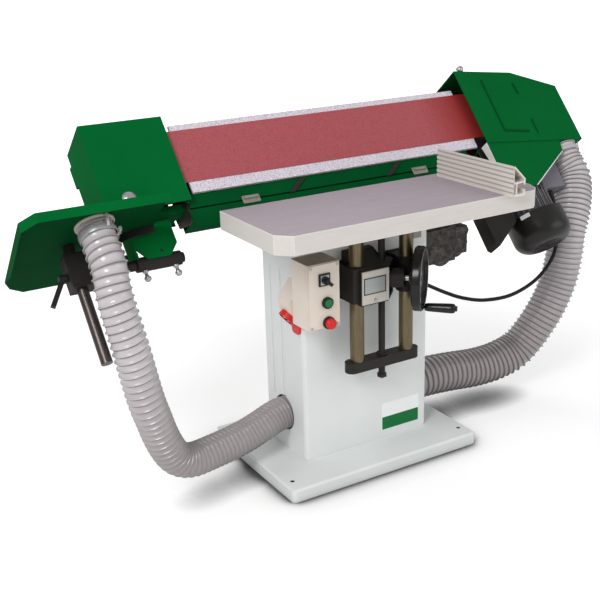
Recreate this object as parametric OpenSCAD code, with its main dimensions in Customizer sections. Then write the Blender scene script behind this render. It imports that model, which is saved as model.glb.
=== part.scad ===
// Edge sander: a long belt head on a pedestal stand, with a lift table, a fence,
// a contour table at the idler end and two ribbed dust hoses.
// Millimetres. X runs along the belt, Y to the back, Z up.
// Zero is on the floor in the middle of the anchor holes.

/* [Stand] */
// width of the base plate along X
base_w = 604; // [560:1:680]
// depth of the base plate along Y
base_d = 450; // [420:1:520]
// height of the base plate
base_h = 36; // [24:1:44]
// distance of an anchor hole from the base's end
anchor_in_x = 25; // [22:1:40]
// distance of an anchor hole from the base's long side
anchor_in_y = 49; // [30:1:60]
// anchor hole diameter
anchor_d = 12; // [10:0.5:16]
// width of the pedestal along X
ped_w = 405; // [380:1:430]
// depth of the pedestal along Y
ped_d = 212; // [196:1:240]
// height of the pedestal top over the floor
ped_top = 625; // [600:1:626]
// sheet thickness of the pedestal
sheet = 4; // [3:0.5:6]

/* [Lift table] */
// width of the table along X
table_w = 780; // [740:1:790]
// depth of the table along Y
table_d = 302; // [280:1:320]
// height of the table top over the floor
table_z = 756; // [752:1:770]
// height of the table skirt
skirt_h = 47; // [40:1:52]
// distance between the two lift columns
column_gap = 157; // [150:1:166]
// diameter of a lift column
column_d = 38; // [34:1:40]
// diameter of the handwheel
wheel_d = 170; // [150:1:180]
// height of the fence
fence_h = 77; // [70:1:95]
// length of the fence
fence_l = 305; // [260:1:320]

/* [Belt head] */
// tilt of the head back from upright, in degrees
tilt = 41; // [38:1:44]
// width of the abrasive belt
belt_w = 150; // [140:1:152]
// thickness of the abrasive belt
belt_t = 1.2; // [0.8:0.1:1.6]
// diameter of the drive drum
drive_d = 150; // [140:1:152]
// diameter of the idler drum
idler_d = 100; // [90:1:104]
// width of the platen across the belt
platen_w = 197; // [190:1:204]
// diameter of the motor fan cover
fan_d = 176; // [160:1:184]
// thickness of the green cover sheets
cover_t = 3; // [2:0.5:4]

/* [Contour table] */
// height of the rim under the contour table
rim_h = 25; // [18:1:28]
// diameter of the contour table's post
post_d = 28; // [22:1:30]
// diameter of the bar that carries the clamp block
bar_d = 26; // [22:1:28]

/* [Hoses] */
// outside diameter of the left dust hose over its ribs
hose_l_d = 92; // [86:1:96]
// outside diameter of the right dust hose over its ribs
hose_r_d = 120; // [112:1:122]
// depth of a rib on the left hose
rib_l = 4.5; // [3:0.5:6]
// depth of a rib on the right hose
rib_r = 6; // [3:0.5:7]
// number of ribs on the left hose
ribs_l = 58; // [40:1:70]
// number of ribs on the right hose
ribs_r = 66; // [40:1:74]
// diameter of the motor cable
cable_d = 11; // [9:0.5:13]

/* [Hidden] */
$fn = 48;
run = 0.05;
seat = 0.3;
// stand
ped_x = 12.5;
ped_l = ped_x - ped_w / 2;
ped_r = ped_x + ped_w / 2;
ped_front = -104;
ped_back = ped_front + ped_d;
hose_room = 8;
hose_l_y = 8;
hose_l_z = 140;
hose_r_z = 130;
outlet_d = 120;
gland_y = 20;
gland_z = 440;
groove_ys = [4, 57];
// tilt axis and head place
tilt_y = 20;
tilt_z = 677;
belt_y = 12;
belt_z = 756;
shaft_d = 30;
sw = sin(tilt);
cw = cos(tilt);
tilt_dy = tilt_y - belt_y;
tilt_dz = tilt_z - belt_z;
tilt_w = tilt_dy * sw + tilt_dz * cw;
tilt_n = tilt_dz * sw - tilt_dy * cw;
// belt run
belt_w0 = 75;
belt_w1 = belt_w0 + belt_w;
drive_r = drive_d / 2 + seat + belt_t;
idler_r = idler_d / 2 + seat + belt_t;
drive_u = 653;
idler_u = -558;
drive_n = -drive_r;
idler_n = -idler_r;
platen_w0 = 45;
platen_back = -9.5;
platen_face = -belt_t - seat;
// hood
// from the belt on the drive drum to the middle of the right port
port_reach = 150.5;
port_u = drive_u + drive_r + port_reach;
port_n = -88;
hood_u0 = 518;
hood_u1 = port_u + 75;
hood_n0 = 31;
hood_n1 = -46;
hood_back = -168;
hood_w0 = 38;
hood_w1 = 287;
hood_chamfer_u = hood_u1 - 190;
hood_chamfer_w = hood_w1 - 48;
hood_knob_u = 556;
hood_knob_n = 18;
hose_sides = 10;
hose_wall = 1.5;
port_l_od = 2 * (hose_l_d / 2 - rib_l - hose_wall) * cos(180 / hose_sides) - 2 * seat;
port_r_od = 2 * (hose_r_d / 2 - rib_r - hose_wall) * cos(180 / hose_sides) - 2 * seat;
// motor
fan_w0 = -273;
fan_w1 = -179;
// idler cover
cover_u0 = -645;
cover_u1 = -425;
cover_w0 = 20;
cover_w1 = 264;
cover_n0 = -121;
cover_n1 = 14;
hinge_u = -622;
hinge_n = -134;
// contour table
bar_w = -86;
bar_n = -82;
post_u = -731;
port_l_u = -686;
port_l_n = 18;
notch_r = 80;
notch_u = -545;
notch_n = -125;
top_edge_u = -520;
thumb_us = [-566, -484];
// lift
lift_x = 17.5;
lift_y = -165;
shaft_z = 542;
col_xs = [lift_x - column_gap / 2, lift_x + column_gap / 2];
gear_r = 20;
gear_h = 8;
gear_teeth = 12;
crank_r = wheel_d / 2 - 7.4;
table_y1 = -45;
table_y0 = table_y1 - table_d;
table_x0 = -380;
table_x1 = table_x0 + table_w;
skirt_z = table_z - skirt_h;
fence_x = 268;
fence_y1 = -70;
fence_y0 = fence_y1 - fence_l;
// control box
box_x0 = -220;
box_x1 = -127;
box_face = -190;
box_z0 = 446;
box_z1 = 620;
start_x = -167;
start_z = 516;
stop_x = -164;
stop_z = 462;
sel_x = -174;
sel_z = 578;

// routes of the soft parts, as points the curve passes through
function headpt(u, w, n) = [u, belt_y + w * sw - n * cw, belt_z + w * cw + n * sw];
left_route = [headpt(port_l_u, -10, port_l_n), headpt(port_l_u, -70, port_l_n),
  headpt(port_l_u, -118, port_l_n), [-689, -99, 637], [-687, -116, 588], [-671, -131, 489],
  [-646, -130, 360], [-625, -120, 291], [-600, -106, 220], [-565, -88, 157], [-519, -74, 126],
  [-452, -54, 118], [-350, -28, 118], [-280, -11, 127], [-236, 1, 135], [-203, hose_l_y - 1, hose_l_z - 1],
  [-178, hose_l_y, hose_l_z], [-148, hose_l_y, hose_l_z]];
right_route = [headpt(port_u, 36, port_n), headpt(port_u, -20, port_n), headpt(port_u, -72, port_n),
  [846, -9, 575], [808, -33, 500], [790, -42, 428], [766, -45, 344], [716, -40, 250], [640, -22, 153],
  [565, -10, 121], [480, -3, 114], [390, 0, 122], [319, 0, 128], [265, 0, hose_r_z],
  [225, 0, hose_r_z], [173, 0, hose_r_z]];
cable_route = [headpt(757, -104.7, -78), headpt(757, -134, -78), [753, -44, 543], [740, -58, 480],
  [715, -64, 430], [650, -70, 382], [560, -66, 352], [470, -52, 350], [400, -35, 366],
  [345, -15, 390], [290, 5, 420], [250, 17, 437], [ped_r + 18, gland_y, gland_z],
  [ped_r - 8, gland_y, gland_z]];
function spline(a, b, c, d, t) = 0.5 * ((2 * b) + (c - a) * t + (2 * a - 5 * b + 4 * c - d) * t * t
  + (3 * b - a - 3 * c + d) * t * t * t);
function smooth(p, k) = concat([for (i = [0 : len(p) - 2], j = [0 : k - 1])
  spline(p[max(i - 1, 0)], p[i], p[i + 1], p[min(i + 2, len(p) - 1)], j / k)], [p[len(p) - 1]]);
function sums(p) = [for (i = 0, s = 0; i < len(p);
  s = s + (i < len(p) - 1 ? norm(p[i + 1] - p[i]) : 0), i = i + 1) s];
function table_of(p, c, k) = [for (i = [0 : len(p) - 1]) [c[i], p[i][k]]];
function at(tx, ty, tz, s) = [lookup(s, tx), lookup(s, ty), lookup(s, tz)];
function unit(v) = v / norm(v);
function ring(c, t, r, n) = let (a = unit(cross([0, 1, 0], t)), b = cross(t, a))
  [for (i = [0 : n - 1]) c + r * (cos(360 * i / n) * a + sin(360 * i / n) * b)];
function flat(l) = [for (a = l, b = a) b];
function wall(o, m, n, f) = [for (i = [0 : m - 2], j = [0 : n - 1])
  let (a = o + i * n + j, b = o + i * n + (j + 1) % n, c = a + n, d = b + n)
  each (f ? [[a, c, b], [b, c, d]] : [[a, b, c], [b, d, c]])];
function cap(o, q, n, f) = [for (j = [0 : n - 1])
  let (a = o + j, b = o + (j + 1) % n, c = q + j, d = q + (j + 1) % n)
  each (f ? [[a, b, c], [b, d, c]] : [[a, c, b], [b, c, d]])];

module box3(x0, x1, y0, y1, z0, z1) {
  translate([x0, y0, z0]) cube([x1 - x0, y1 - y0, z1 - z0]);
}

module round_box(x0, x1, y0, y1, z0, z1, r) {
  box3(x0 + r, x1 - r, y0, y1, z0, z1);
  box3(x0, x1, y0 + r, y1 - r, z0, z1);
  for (x = [x0 + r, x1 - r], y = [y0 + r, y1 - r]) translate([x, y, z0]) cylinder(r = r, h = z1 - z0);
}

// in the head's own frame: x along the belt, y across it (w), z out of its face (n)
module in_head() {
  translate([0, belt_y, belt_z]) rotate([90 - tilt, 0, 0]) children();
}

module rod_u(d, u0, u1, w, n) {
  translate([u0, w, n]) rotate([0, 90, 0]) cylinder(d = d, h = u1 - u0);
}

module rod_w(d, w0, w1, u, n) {
  translate([u, w0, n]) rotate([-90, 0, 0]) cylinder(d = d, h = w1 - w0);
}

module rod_n(d, n0, n1, u, w) {
  translate([u, w, n0]) cylinder(d = d, h = n1 - n0);
}

module extrude_w(w0, w1) {
  translate([0, w1, 0]) rotate([90, 0, 0]) linear_extrude(w1 - w0) children();
}

module extrude_n(n0, n1) {
  translate([0, 0, n0]) linear_extrude(n1 - n0) children();
}

// along the handwheel shaft, which leaves the spindle at 45 degrees
module on_shaft() {
  translate([lift_x, lift_y, shaft_z]) rotate([0, 0, -45]) rotate([0, 90, 0]) children();
}

module anchors(d, h) {
  for (x = [-1, 1], y = [-1, 1])
    translate([x * (base_w / 2 - anchor_in_x), y * (base_d / 2 - anchor_in_y), -1]) cylinder(d = d, h = h);
}

module base_plate() {
  c = 5;
  color("#dfe3e1") difference() {
    intersection() {
      union() { round_box(-base_w / 2, base_w / 2, -base_d / 2, base_d / 2, 0, base_h, 12); }
      rotate([90, 0, 0]) linear_extrude(base_d + 2, center = true)
        polygon([[-base_w / 2, 0], [base_w / 2, 0], [base_w / 2, base_h - c], [base_w / 2 - c, base_h],
          [-base_w / 2 + c, base_h], [-base_w / 2, base_h - c]]);
      rotate([90, 0, 90]) linear_extrude(base_w + 2, center = true)
        polygon([[-base_d / 2, 0], [base_d / 2, 0], [base_d / 2, base_h - c], [base_d / 2 - c, base_h],
          [-base_d / 2 + c, base_h], [-base_d / 2, base_h - c]]);
    }
    difference() {
      box3(-base_w / 2 + 6, base_w / 2 - 6, -base_d / 2 + 6, base_d / 2 - 6, -1, base_h - 6);
      anchors(40, base_h + 2);
    }
    anchors(anchor_d, base_h + 2);
  }
}

module pedestal() {
  color("#dfe3e1") difference() {
    round_box(ped_l, ped_r, ped_front, ped_back, base_h, ped_top, 12);
    box3(ped_l + sheet, ped_r - sheet, ped_front + sheet, ped_back - sheet, base_h - 1, ped_top - 6);
    rod_u(hose_l_d + hose_room, ped_l - 1, ped_x, hose_l_y, hose_l_z);
    rod_u(hose_r_d + hose_room, ped_x, ped_r + 1, 0, hose_r_z);
    rod_u(cable_d + 5, ped_r - 20, ped_r + 1, gland_y, gland_z);
    translate([ped_x, ped_back - 20, hose_r_z]) rotate([-90, 0, 0]) cylinder(d = outlet_d + 2, h = 40);
    for (y = groove_ys) {
      box3(ped_l - 1, ped_l + 2, y - 6, y + 6, 184, 558);
      box3(ped_r - 2, ped_r + 1, y - 6, y + 6, 184, 380);
    }
  }
}

module dust_tee() {
  color("#b9bdbe") difference() {
    union() {
      rod_u(port_l_od, ped_l + 12, ped_x, hose_l_y, hose_l_z);
      rod_u(port_r_od, ped_x, ped_r - 12, 0, hose_r_z);
      translate([ped_x, -58, hose_r_z]) rotate([-90, 0, 0]) cylinder(d = outlet_d, h = ped_back + 110);
      translate([ped_x, ped_back, hose_r_z]) rotate([-90, 0, 0]) cylinder(d = outlet_d + 32, h = 4);
      box3(ped_x - 30, ped_x + 30, -25, 25, base_h, hose_r_z - 40);
    }
    rod_u(port_l_od - 6, ped_l, ped_x, hose_l_y, hose_l_z);
    rod_u(port_r_od - 6, ped_x, ped_r, 0, hose_r_z);
    translate([ped_x, -54, hose_r_z]) rotate([-90, 0, 0]) cylinder(d = outlet_d - 8, h = ped_back + 114);
  }
}

module bearing_block() {
  color("#3a3a3a") difference() {
    union() {
      box3(-120, -70, tilt_y - 28, tilt_y + 28, ped_top, tilt_z);
      rod_u(56, -120, -70, tilt_y, tilt_z);
      box3(-134, -56, tilt_y - 44, tilt_y + 30, ped_top, ped_top + 8);
    }
    rod_u(shaft_d + 2 * run, -130, -60, tilt_y, tilt_z);
  }
}

module tilt_casting() {
  color("#3b3b39") difference() {
    union() {
      box3(ped_r, ped_r + 16, -66, 48, 492, ped_top - 4);
      round_box(ped_r + 10, 352, -60, 40, 500, 598, 10);
      round_box(340, 402, -50, 30, 512, 590, 10);
      translate([300, -58, 528]) rotate([-90, 0, 0]) cylinder(d = 78, h = 86);
      translate([362, -46, 530]) rotate([-90, 0, 0]) cylinder(d = 56, h = 70);
      box3(ped_r + 22, 322, -12, 50, 590, tilt_z);
      rod_u(62, ped_r + 20, 330, tilt_y, tilt_z);
    }
    rod_u(shaft_d + 2 * run, ped_r + 10, 340, tilt_y, tilt_z);
    translate([284, 12, 560]) rotate([-90, 0, 0]) cylinder(d = 12 + 2 * run, h = 40);
  }
}

module tilt_lever() {
  color("#26241f") {
    translate([284, 14, 560]) rotate([-90, 0, 0]) cylinder(d = 12, h = 46);
    translate([284, 41, 560]) rotate([-90, 0, 0]) cylinder(d = 26, h = 20);
    box3(278, 290, 45, 57, 478, 560);
    translate([284, 51, 478]) sphere(d = 18);
  }
}

module stand_fasteners() {
  color("#b8b8b4") {
    for (x = [box_x0 + 8, box_x1 - 8], z = [box_z0 + 8, box_z1 - 8])
      translate([x, box_face, z]) rotate([90, 0, 0]) cylinder(d = 7, h = 1.6);
    translate([-28, -204, 498]) rotate([90, 0, 0]) cylinder(d = 10, h = 3);
  }
}

module lift_housing() {
  color("#232220") difference() {
    union() {
      box3(col_xs[0] - 31, col_xs[1] + 31, -112, ped_front, 490, 588);
      round_box(col_xs[0] - 27, col_xs[0] + 27, lift_y - 27, -110, 493, 586, 6);
      translate([col_xs[1], lift_y, 493]) cylinder(d = 54, h = 93);
      box3(col_xs[1] - 20, col_xs[1] + 20, lift_y, -110, 493, 586);
      translate([0, 0, 486]) linear_extrude(94)
        polygon([[-70, -200], [15, -200], [68, -147], [68, -110], [-70, -110]]);
      translate([-70, 0, 0]) rotate([90, 0, 90]) linear_extrude(85)
        polygon([[-200, 579], [-110, 579], [-110, 616], [-130, 616]]);
      on_shaft() cylinder(d = 50, h = 62);
    }
    for (x = col_xs) translate([x, lift_y, 480]) cylinder(d = column_d + 2 * run, h = 160);
    translate([lift_x, lift_y, 480]) cylinder(d = 20, h = 160);
    translate([lift_x, lift_y, 496]) cylinder(d = 60, h = 74);
    on_shaft() cylinder(d = 46, h = 36);
    on_shaft() cylinder(d = 16 + 2 * run, h = 70);
  }
}

module housing_plate() {
  color("#c9c5bd") difference() {
    box3(-68, 14, -204, -200, 490, 578);
    translate([-28, -205, 498]) rotate([-90, 0, 0]) cylinder(d = 5, h = 6);
  }
}

module control_box() {
  color("#d6c8bc") difference() {
    round_box(box_x0, box_x1, box_face + 12, ped_front, box_z0, box_z1, 5);
    box3(box_x0 + 4, box_x1 - 4, box_face + 11, ped_front - 4, box_z0 + 4, box_z1 - 4);
  }
}

module lid_bore(x, z, d) {
  translate([x, box_face - 5, z]) rotate([-90, 0, 0]) cylinder(d = d, h = 30);
}

module box_lid() {
  color("#dccfc3") difference() {
    union() {
      box3(box_x0, box_x1, box_face + 3, box_face + 12, box_z0, box_z1);
      box3(box_x0 + 2, box_x1 - 2, box_face, box_face + 4, box_z0 + 2, box_z1 - 2);
    }
    lid_bore(start_x, start_z, 12 + 2 * run);
    lid_bore(stop_x, stop_z, 12 + 2 * run);
    lid_bore(sel_x, sel_z, 8 + 2 * run);
  }
}

module y_ring(x, z, y0, y1, od, id) {
  translate([x, y1, z]) rotate([90, 0, 0]) difference() {
    cylinder(d = od, h = y1 - y0);
    translate([0, 0, -1]) cylinder(d = id, h = y1 - y0 + 2);
  }
}

module switch_bezels() {
  color("#1d1c1b") {
    y_ring(start_x, start_z, box_face - 8, box_face, 30, 23);
    y_ring(stop_x, stop_z, box_face - 7, box_face, 33, 28);
    difference() {
      box3(sel_x - 16, sel_x + 16, box_face - 4, box_face, sel_z - 16, sel_z + 16);
      lid_bore(sel_x, sel_z, 9);
    }
  }
}

module selector() {
  color("#191919") {
    translate([sel_x, box_face + 20, sel_z]) rotate([90, 0, 0]) cylinder(d = 8, h = 26);
    translate([sel_x, box_face - 4.4, sel_z]) rotate([90, 0, 0]) cylinder(d = 20, h = 8);
    translate([sel_x, 0, sel_z]) rotate([0, 45, 0]) box3(-4, 19, box_face - 20, box_face - 10, -4, 4);
  }
}

module start_button() {
  color("#0b6f38") {
    translate([start_x, box_face + 18, start_z]) rotate([90, 0, 0]) cylinder(d = 12, h = 24);
    translate([start_x, box_face - 4.6, start_z]) rotate([90, 0, 0]) cylinder(d = 22, h = 5);
  }
}

module stop_button() {
  color("#cb2822") {
    translate([stop_x, box_face + 18, stop_z]) rotate([90, 0, 0]) cylinder(d = 12, h = 24);
    translate([stop_x, box_face - 4.6, stop_z]) rotate([90, 0, 0]) cylinder(d = 27, h = 14);
  }
}

module inlet_housing() {
  color("#e4dad0") translate([0, ped_front + 62, 0]) rotate([90, 0, 0]) linear_extrude(61.7)
    polygon([[ped_l, 548], [ped_l - 6, 540], [ped_l - 36, 500], [ped_l - 32, 470], [ped_l - 8, 440],
      [ped_l, 440]]);
}

module inlet_collar() {
  color("#d3261f") translate([ped_l - 20.1, ped_front + 31.3, 454.9]) rotate([0, -128.5, 0]) difference() {
    cylinder(d = 50, h = 14);
    translate([0, 0, 4]) cylinder(d = 42, h = 30);
  }
}

// a ribbed tube with its bore, ribs closer together towards the far end when k is over 0
module ribbed_hose(route, count, k, od, rib) {
  p = smooth(route, 6);
  c = sums(p);
  long = c[len(c) - 1];
  tx = table_of(p, c, 0);
  ty = table_of(p, c, 1);
  tz = table_of(p, c, 2);
  n = hose_sides;
  m = 2 * count + 1;
  q = 36;
  function place(i, of) = let (t = i / (of - 1)) long * t * (1 + k * (1 - t));
  function way(s) = unit(at(tx, ty, tz, min(s + 6, long)) - at(tx, ty, tz, max(s - 6, 0)));
  outer = flat([for (i = [0 : m - 1]) let (s = place(i, m))
    ring(at(tx, ty, tz, s), way(s), od / 2 - (i % 2 == 0 ? rib : 0), n)]);
  inner = flat([for (i = [0 : q - 1]) let (s = long * i / (q - 1))
    ring(at(tx, ty, tz, s), way(s), od / 2 - rib - hose_wall, n)]);
  faces = concat(wall(0, m, n, true), wall(m * n, q, n, false), cap(0, m * n, n, true),
    cap((m - 1) * n, m * n + (q - 1) * n, n, false));
  polyhedron(concat(outer, inner), faces, convexity = 10);
}

module left_hose() {
  color("#b8b0b2") ribbed_hose(left_route, ribs_l, 0.3, hose_l_d, rib_l);
}

module right_hose() {
  color("#b8b0b2") ribbed_hose(right_route, ribs_r, 0, hose_r_d, rib_r);
}

module motor_cable() {
  p = smooth(cable_route, 4);
  n = 8;
  m = len(p);
  rings = flat([for (i = [0 : m - 1])
    ring(p[i], unit(p[min(i + 1, m - 1)] - p[max(i - 1, 0)]), cable_d / 2, n)]);
  ends = [[for (j = [0 : n - 1]) j], [for (j = [0 : n - 1]) (m - 1) * n + n - 1 - j]];
  color("#1a1a1a") polyhedron(rings, concat(wall(0, m, n, true), ends), convexity = 10);
}

module head_frame() {
  color("#0a5c2c") in_head() difference() {
    union() {
      difference() {
        box3(-425, 540, -20, 4, -95, -14);
        box3(-430, 545, -16, 0, -91, -18);
      }
      box3(-430, 545, -46, 4, -14, -10);
      box3(-420, 460, 3, 9, -90, -30);
      box3(-425, 465, 8, 12, -92, -10);
      box3(-425, 465, 11, platen_w0, -14, -10);
      box3(-400, 460, 11, platen_w0 + platen_w - 6, -34, -30);
      for (u = [-395, -225, -55, 115, 285, 450])
        box3(u, u + 6, 30, platen_w0 + platen_w - 6, -31, platen_back);
      box3(470, 748, 3, 16, -150, -20);
      for (u = [-62, 168]) {
        box3(u, u + 16, tilt_w, -19, tilt_n - 25, tilt_n + 25);
        rod_u(50, u, u + 16, tilt_w, tilt_n);
      }
    }
    rod_u(shaft_d, -70, 200, tilt_w, tilt_n);
    rod_w(60, -20, 30, drive_u, drive_n);
  }
}

module tilt_shaft() {
  color("#8d8f90") in_head() rod_u(shaft_d, -126, 336, tilt_w, tilt_n);
}

module platen() {
  color("#cfcad0") in_head() box3(-408, 505, platen_w0, platen_w0 + platen_w, platen_back, platen_face);
}

// the far tangent point: a point mirrored about the line through both drum centres
function mirrored(p) = let (c = [idler_u, idler_n], d = unit([drive_u - idler_u, drive_n - idler_n]),
  v = p - c) c + 2 * (v * d) * d - v;

module loop_solid(inset, w0, w1) {
  rod_w(2 * (drive_r - inset), w0, w1, drive_u, drive_n);
  rod_w(2 * (idler_r - inset), w0, w1, idler_u, idler_n);
  extrude_w(w0, w1) polygon([[idler_u, -inset], [drive_u, -inset], mirrored([drive_u, -inset]),
    mirrored([idler_u, -inset])]);
}

module abrasive_belt() {
  color("#a2565c") in_head() difference() {
    union() { loop_solid(0, belt_w0, belt_w1); }
    loop_solid(belt_t, belt_w0 - 1, belt_w1 + 1);
  }
}

module motor_body() {
  color("#4a4a4c") in_head() difference() {
    union() {
      rod_w(124, fan_w1 - 3, 3, drive_u, drive_n);
      rod_w(144, -9, 3, drive_u, drive_n);
      for (i = [0 : 23]) translate([drive_u, 0, drive_n]) rotate([0, 15 * i, 0])
        box3(58, 69, fan_w1 + 3, -8, -1.6, 1.6);
      box3(715, 722, -96, -26, -100, -55);
      box3(700, 718, -90, -30, -94, -60);
    }
    rod_w(96, fan_w1 - 5, -14, drive_u, drive_n);
    rod_w(24 + 2 * run, -20, 10, drive_u, drive_n);
  }
}

module terminal_box() {
  color("#6d6b72") in_head() box3(722, 804, -104, -12, -105, -52);
}

module fan_cover() {
  r = fan_d / 2;
  color("#1f1e1e") in_head() translate([drive_u, 0, drive_n]) difference() {
    rotate([-90, 0, 0]) rotate_extrude()
      polygon([[0, fan_w0], [r - 26, fan_w0], [r - 8, fan_w0 + 8], [r, fan_w0 + 28], [r, fan_w1],
        [62, fan_w1], [62, fan_w1 - 4], [r - 3, fan_w1 - 4], [r - 3, fan_w0 + 29], [r - 10, fan_w0 + 11],
        [r - 27, fan_w0 + 3], [0, fan_w0 + 3]]);
    for (a = [0 : 30 : 330]) rotate([0, a, 0]) box3(24, r - 34, fan_w0 - 5, fan_w0 + 7, -3, 3);
  }
}

module cooling_fan() {
  color("#2b2b2d") in_head() translate([drive_u, 0, drive_n]) difference() {
    union() {
      rod_w(44, fan_w0 + 24, fan_w0 + 52, 0, 0);
      rod_w(136, fan_w0 + 49, fan_w0 + 52, 0, 0);
      for (a = [0 : 45 : 315]) rotate([0, a, 0]) box3(18, 68, fan_w0 + 24, fan_w0 + 51, -1.5, 1.5);
    }
    rod_w(24, fan_w0 + 20, fan_w0 + 60, 0, 0);
  }
}

module motor_shaft() {
  color("#8f9193") in_head() {
    rod_w(24, fan_w0 + 22, 236, drive_u, drive_n);
    rod_w(94, -150, -34, drive_u, drive_n);
  }
}

module drive_drum() {
  color("#3d3b3a") in_head() difference() {
    rod_w(drive_d, belt_w0 - 7, belt_w1 + 7, drive_u, drive_n);
    difference() {
      rod_w(drive_d - 16, belt_w0 + 6, belt_w1 + 20, drive_u, drive_n);
      rod_w(54, belt_w0, belt_w1 + 30, drive_u, drive_n);
    }
    rod_w(24, belt_w0 - 20, belt_w1 + 30, drive_u, drive_n);
  }
}

module hood_slab(n_in, over) {
  s = (hood_n1 - hood_n0) / (hood_u1 - hood_u0);
  extrude_w(-200, 400) polygon([[hood_u0 - over, hood_n0 - s * over - n_in],
    [hood_u1 + over, hood_n1 + s * over - n_in], [hood_u1 + over, hood_n1 + s * over - n_in - cover_t],
    [hood_u0 - over, hood_n0 - s * over - n_in - cover_t]]);
}

module hood() {
  t = cover_t;
  color("#00612a") in_head() difference() {
    union() {
      difference() {
        intersection() {
          extrude_w(hood_w0, hood_w1) polygon([[hood_u0, hood_n0], [hood_u1, hood_n1],
            [hood_u1, hood_back], [hood_u0, hood_back]]);
          extrude_n(hood_back - 1, hood_n0 + 1) polygon([[hood_u0, hood_w0], [hood_u1, hood_w0],
            [hood_u1, hood_chamfer_w], [hood_chamfer_u, hood_w1], [hood_u0, hood_w1]]);
        }
        intersection() {
          extrude_w(hood_w0 + t, hood_w1) polygon([[hood_u0 - 5, hood_n0 + 1 - t],
            [hood_u1 - t, hood_n1 - t], [hood_u1 - t, hood_back + t], [hood_u0 - 5, hood_back + t]]);
          extrude_n(hood_back - 1, hood_n0 + 1) polygon([[hood_u0 - 5, hood_w0], [hood_u1 - t, hood_w0],
            [hood_u1 - t, hood_chamfer_w - t], [hood_chamfer_u - 1, hood_w1 - t],
            [hood_u0 - 5, hood_w1 - t]]);
        }
      }
      intersection() {
        hood_slab(2.9, 0);
        extrude_n(-200, 60) polygon([[520, hood_w0 + 2], [port_u - 35, hood_w0 + 2], [port_u - 44, 0], [645, -112],
          [600, -112], [520, -70]]);
      }
      rod_w(port_r_od, -15, hood_w0 + 1, port_u, port_n);
      box3(560, 600, 16, hood_w0 + 1, -150, -100);
      box3(700, 742, 16, hood_w0 + 1, -150, -100);
    }
    rod_w(port_r_od - 6, -20, hood_w0 + 6, port_u, port_n);
    rod_w(70, 30, hood_w0 + 6, drive_u, drive_n);
    rod_w(6 + 2 * run, hood_w1 - 10, hood_w1 + 2, hood_knob_u, hood_knob_n);
  }
}

module hood_knob() {
  color("#b9aeb0") in_head() {
    rod_w(6, hood_w1 - 9, hood_w1 + 6, hood_knob_u, hood_knob_n);
    translate([hood_knob_u, hood_w1 + 12, hood_knob_n]) sphere(d = 22);
  }
}

module idler_arm() {
  color("#0a5c2c") in_head() {
    box3(-606, -402, 12, 32, -75, -27);
    box3(-470, -440, 20, 32, -126, -74);
    box3(hinge_u + 6 + seat, cover_u1 - 3, cover_w0, cover_w1, -128, -125);
    for (w = [30, 232]) {
      rod_w(12, w, w + 28, hinge_u, hinge_n);
      box3(hinge_u - 4, hinge_u + 8, w, w + 28, hinge_n, -125);
    }
    rod_w(6, 30, 260, hinge_u, hinge_n);
  }
}

module idler_carriage() {
  color("#77787a") in_head() {
    box3(-606, -505, 32 + seat, 44, -80, -22);
    box3(-580, -510, 14, 33, -80, -75 - seat);
    box3(-580, -510, 14, 33, -27 + seat, -22);
    rod_w(20, 43, 236, idler_u, idler_n);
    rod_w(34, belt_w1 + 8, belt_w1 + 14, idler_u, idler_n);
  }
}

module idler_drum() {
  color("#3d3b3a") in_head() difference() {
    rod_w(idler_d, belt_w0 - 5, belt_w1 + 5, idler_u, idler_n);
    rod_w(30, belt_w0 - 10, belt_w1 + 10, idler_u, idler_n);
    rod_w(64, belt_w0 + 20, belt_w1 - 20, idler_u, idler_n);
    rod_w(47, belt_w0 - 10, belt_w0 + 11, idler_u, idler_n);
    rod_w(47, belt_w1 - 11, belt_w1 + 10, idler_u, idler_n);
  }
}

module idler_bearings() {
  color("#a9abad") in_head() for (w = [belt_w0 - 3, belt_w1 - 11]) difference() {
    rod_w(47, w, w + 14, idler_u, idler_n);
    rod_w(20 + 2 * run, w - 1, w + 15, idler_u, idler_n);
  }
}

module idler_cover() {
  t = cover_t;
  color("#00612a") in_head() {
    difference() {
      union() {
        difference() {
          box3(cover_u0, cover_u1, cover_w0, cover_w1, cover_n0, cover_n1);
          box3(cover_u0 + t, cover_u1 + 5, cover_w0 - 5, cover_w1 - t, cover_n0 - 5, cover_n1 - t);
        }
        for (w = [60, 172]) {
          rod_w(12, w + seat, w + 60 - seat, hinge_u, hinge_n);
          box3(cover_u0, hinge_u - 3.4, w + seat, w + 60 - seat, hinge_n - 3, cover_n0 + 4);
        }
        box3(-502, -482, cover_w1 - 1, cover_w1 + 3, cover_n1 - 30, cover_n1 - 6);
      }
      rod_w(6 + 2 * run, 30, 260, hinge_u, hinge_n);
      rod_n(8 + 2 * run, cover_n1 - 10, cover_n1 + 10, -579, 50);
    }
  }
}

module door_knob() {
  color("#c6c2c6") in_head() {
    rod_n(8, cover_n1 - 12, cover_n1 + 4, -579, 50);
    translate([-579, 50, cover_n1 + seat]) intersection() {
      cylinder(d = 38, h = 12);
      translate([0, 0, -16]) sphere(r = 25);
    }
  }
}

module contour_bracket() {
  color("#0a6230") in_head() difference() {
    union() {
      extrude_n(-64, -58) polygon([[-584, 12], [-470, 12], [-470, -54], [-496, -84], [-556, -84],
        [-584, -48]]);
      rod_u(bar_d + 10, -584, -466, bar_w, bar_n);
      box3(-546, -506, -84, -62, -72, -60);
      box3(-584, -580, -80, 0, -118, -58);
      translate([-535, -13, -58]) cylinder(d = 18, h = 8, $fn = 6);
    }
    rod_u(bar_d + 2 * run, -600, -450, bar_w, bar_n);
    rod_n(8, -70, -50, -517, -68);
    for (u = thumb_us) rod_w(8 + 2 * run, -112, bar_w, u, bar_n);
  }
}

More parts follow.
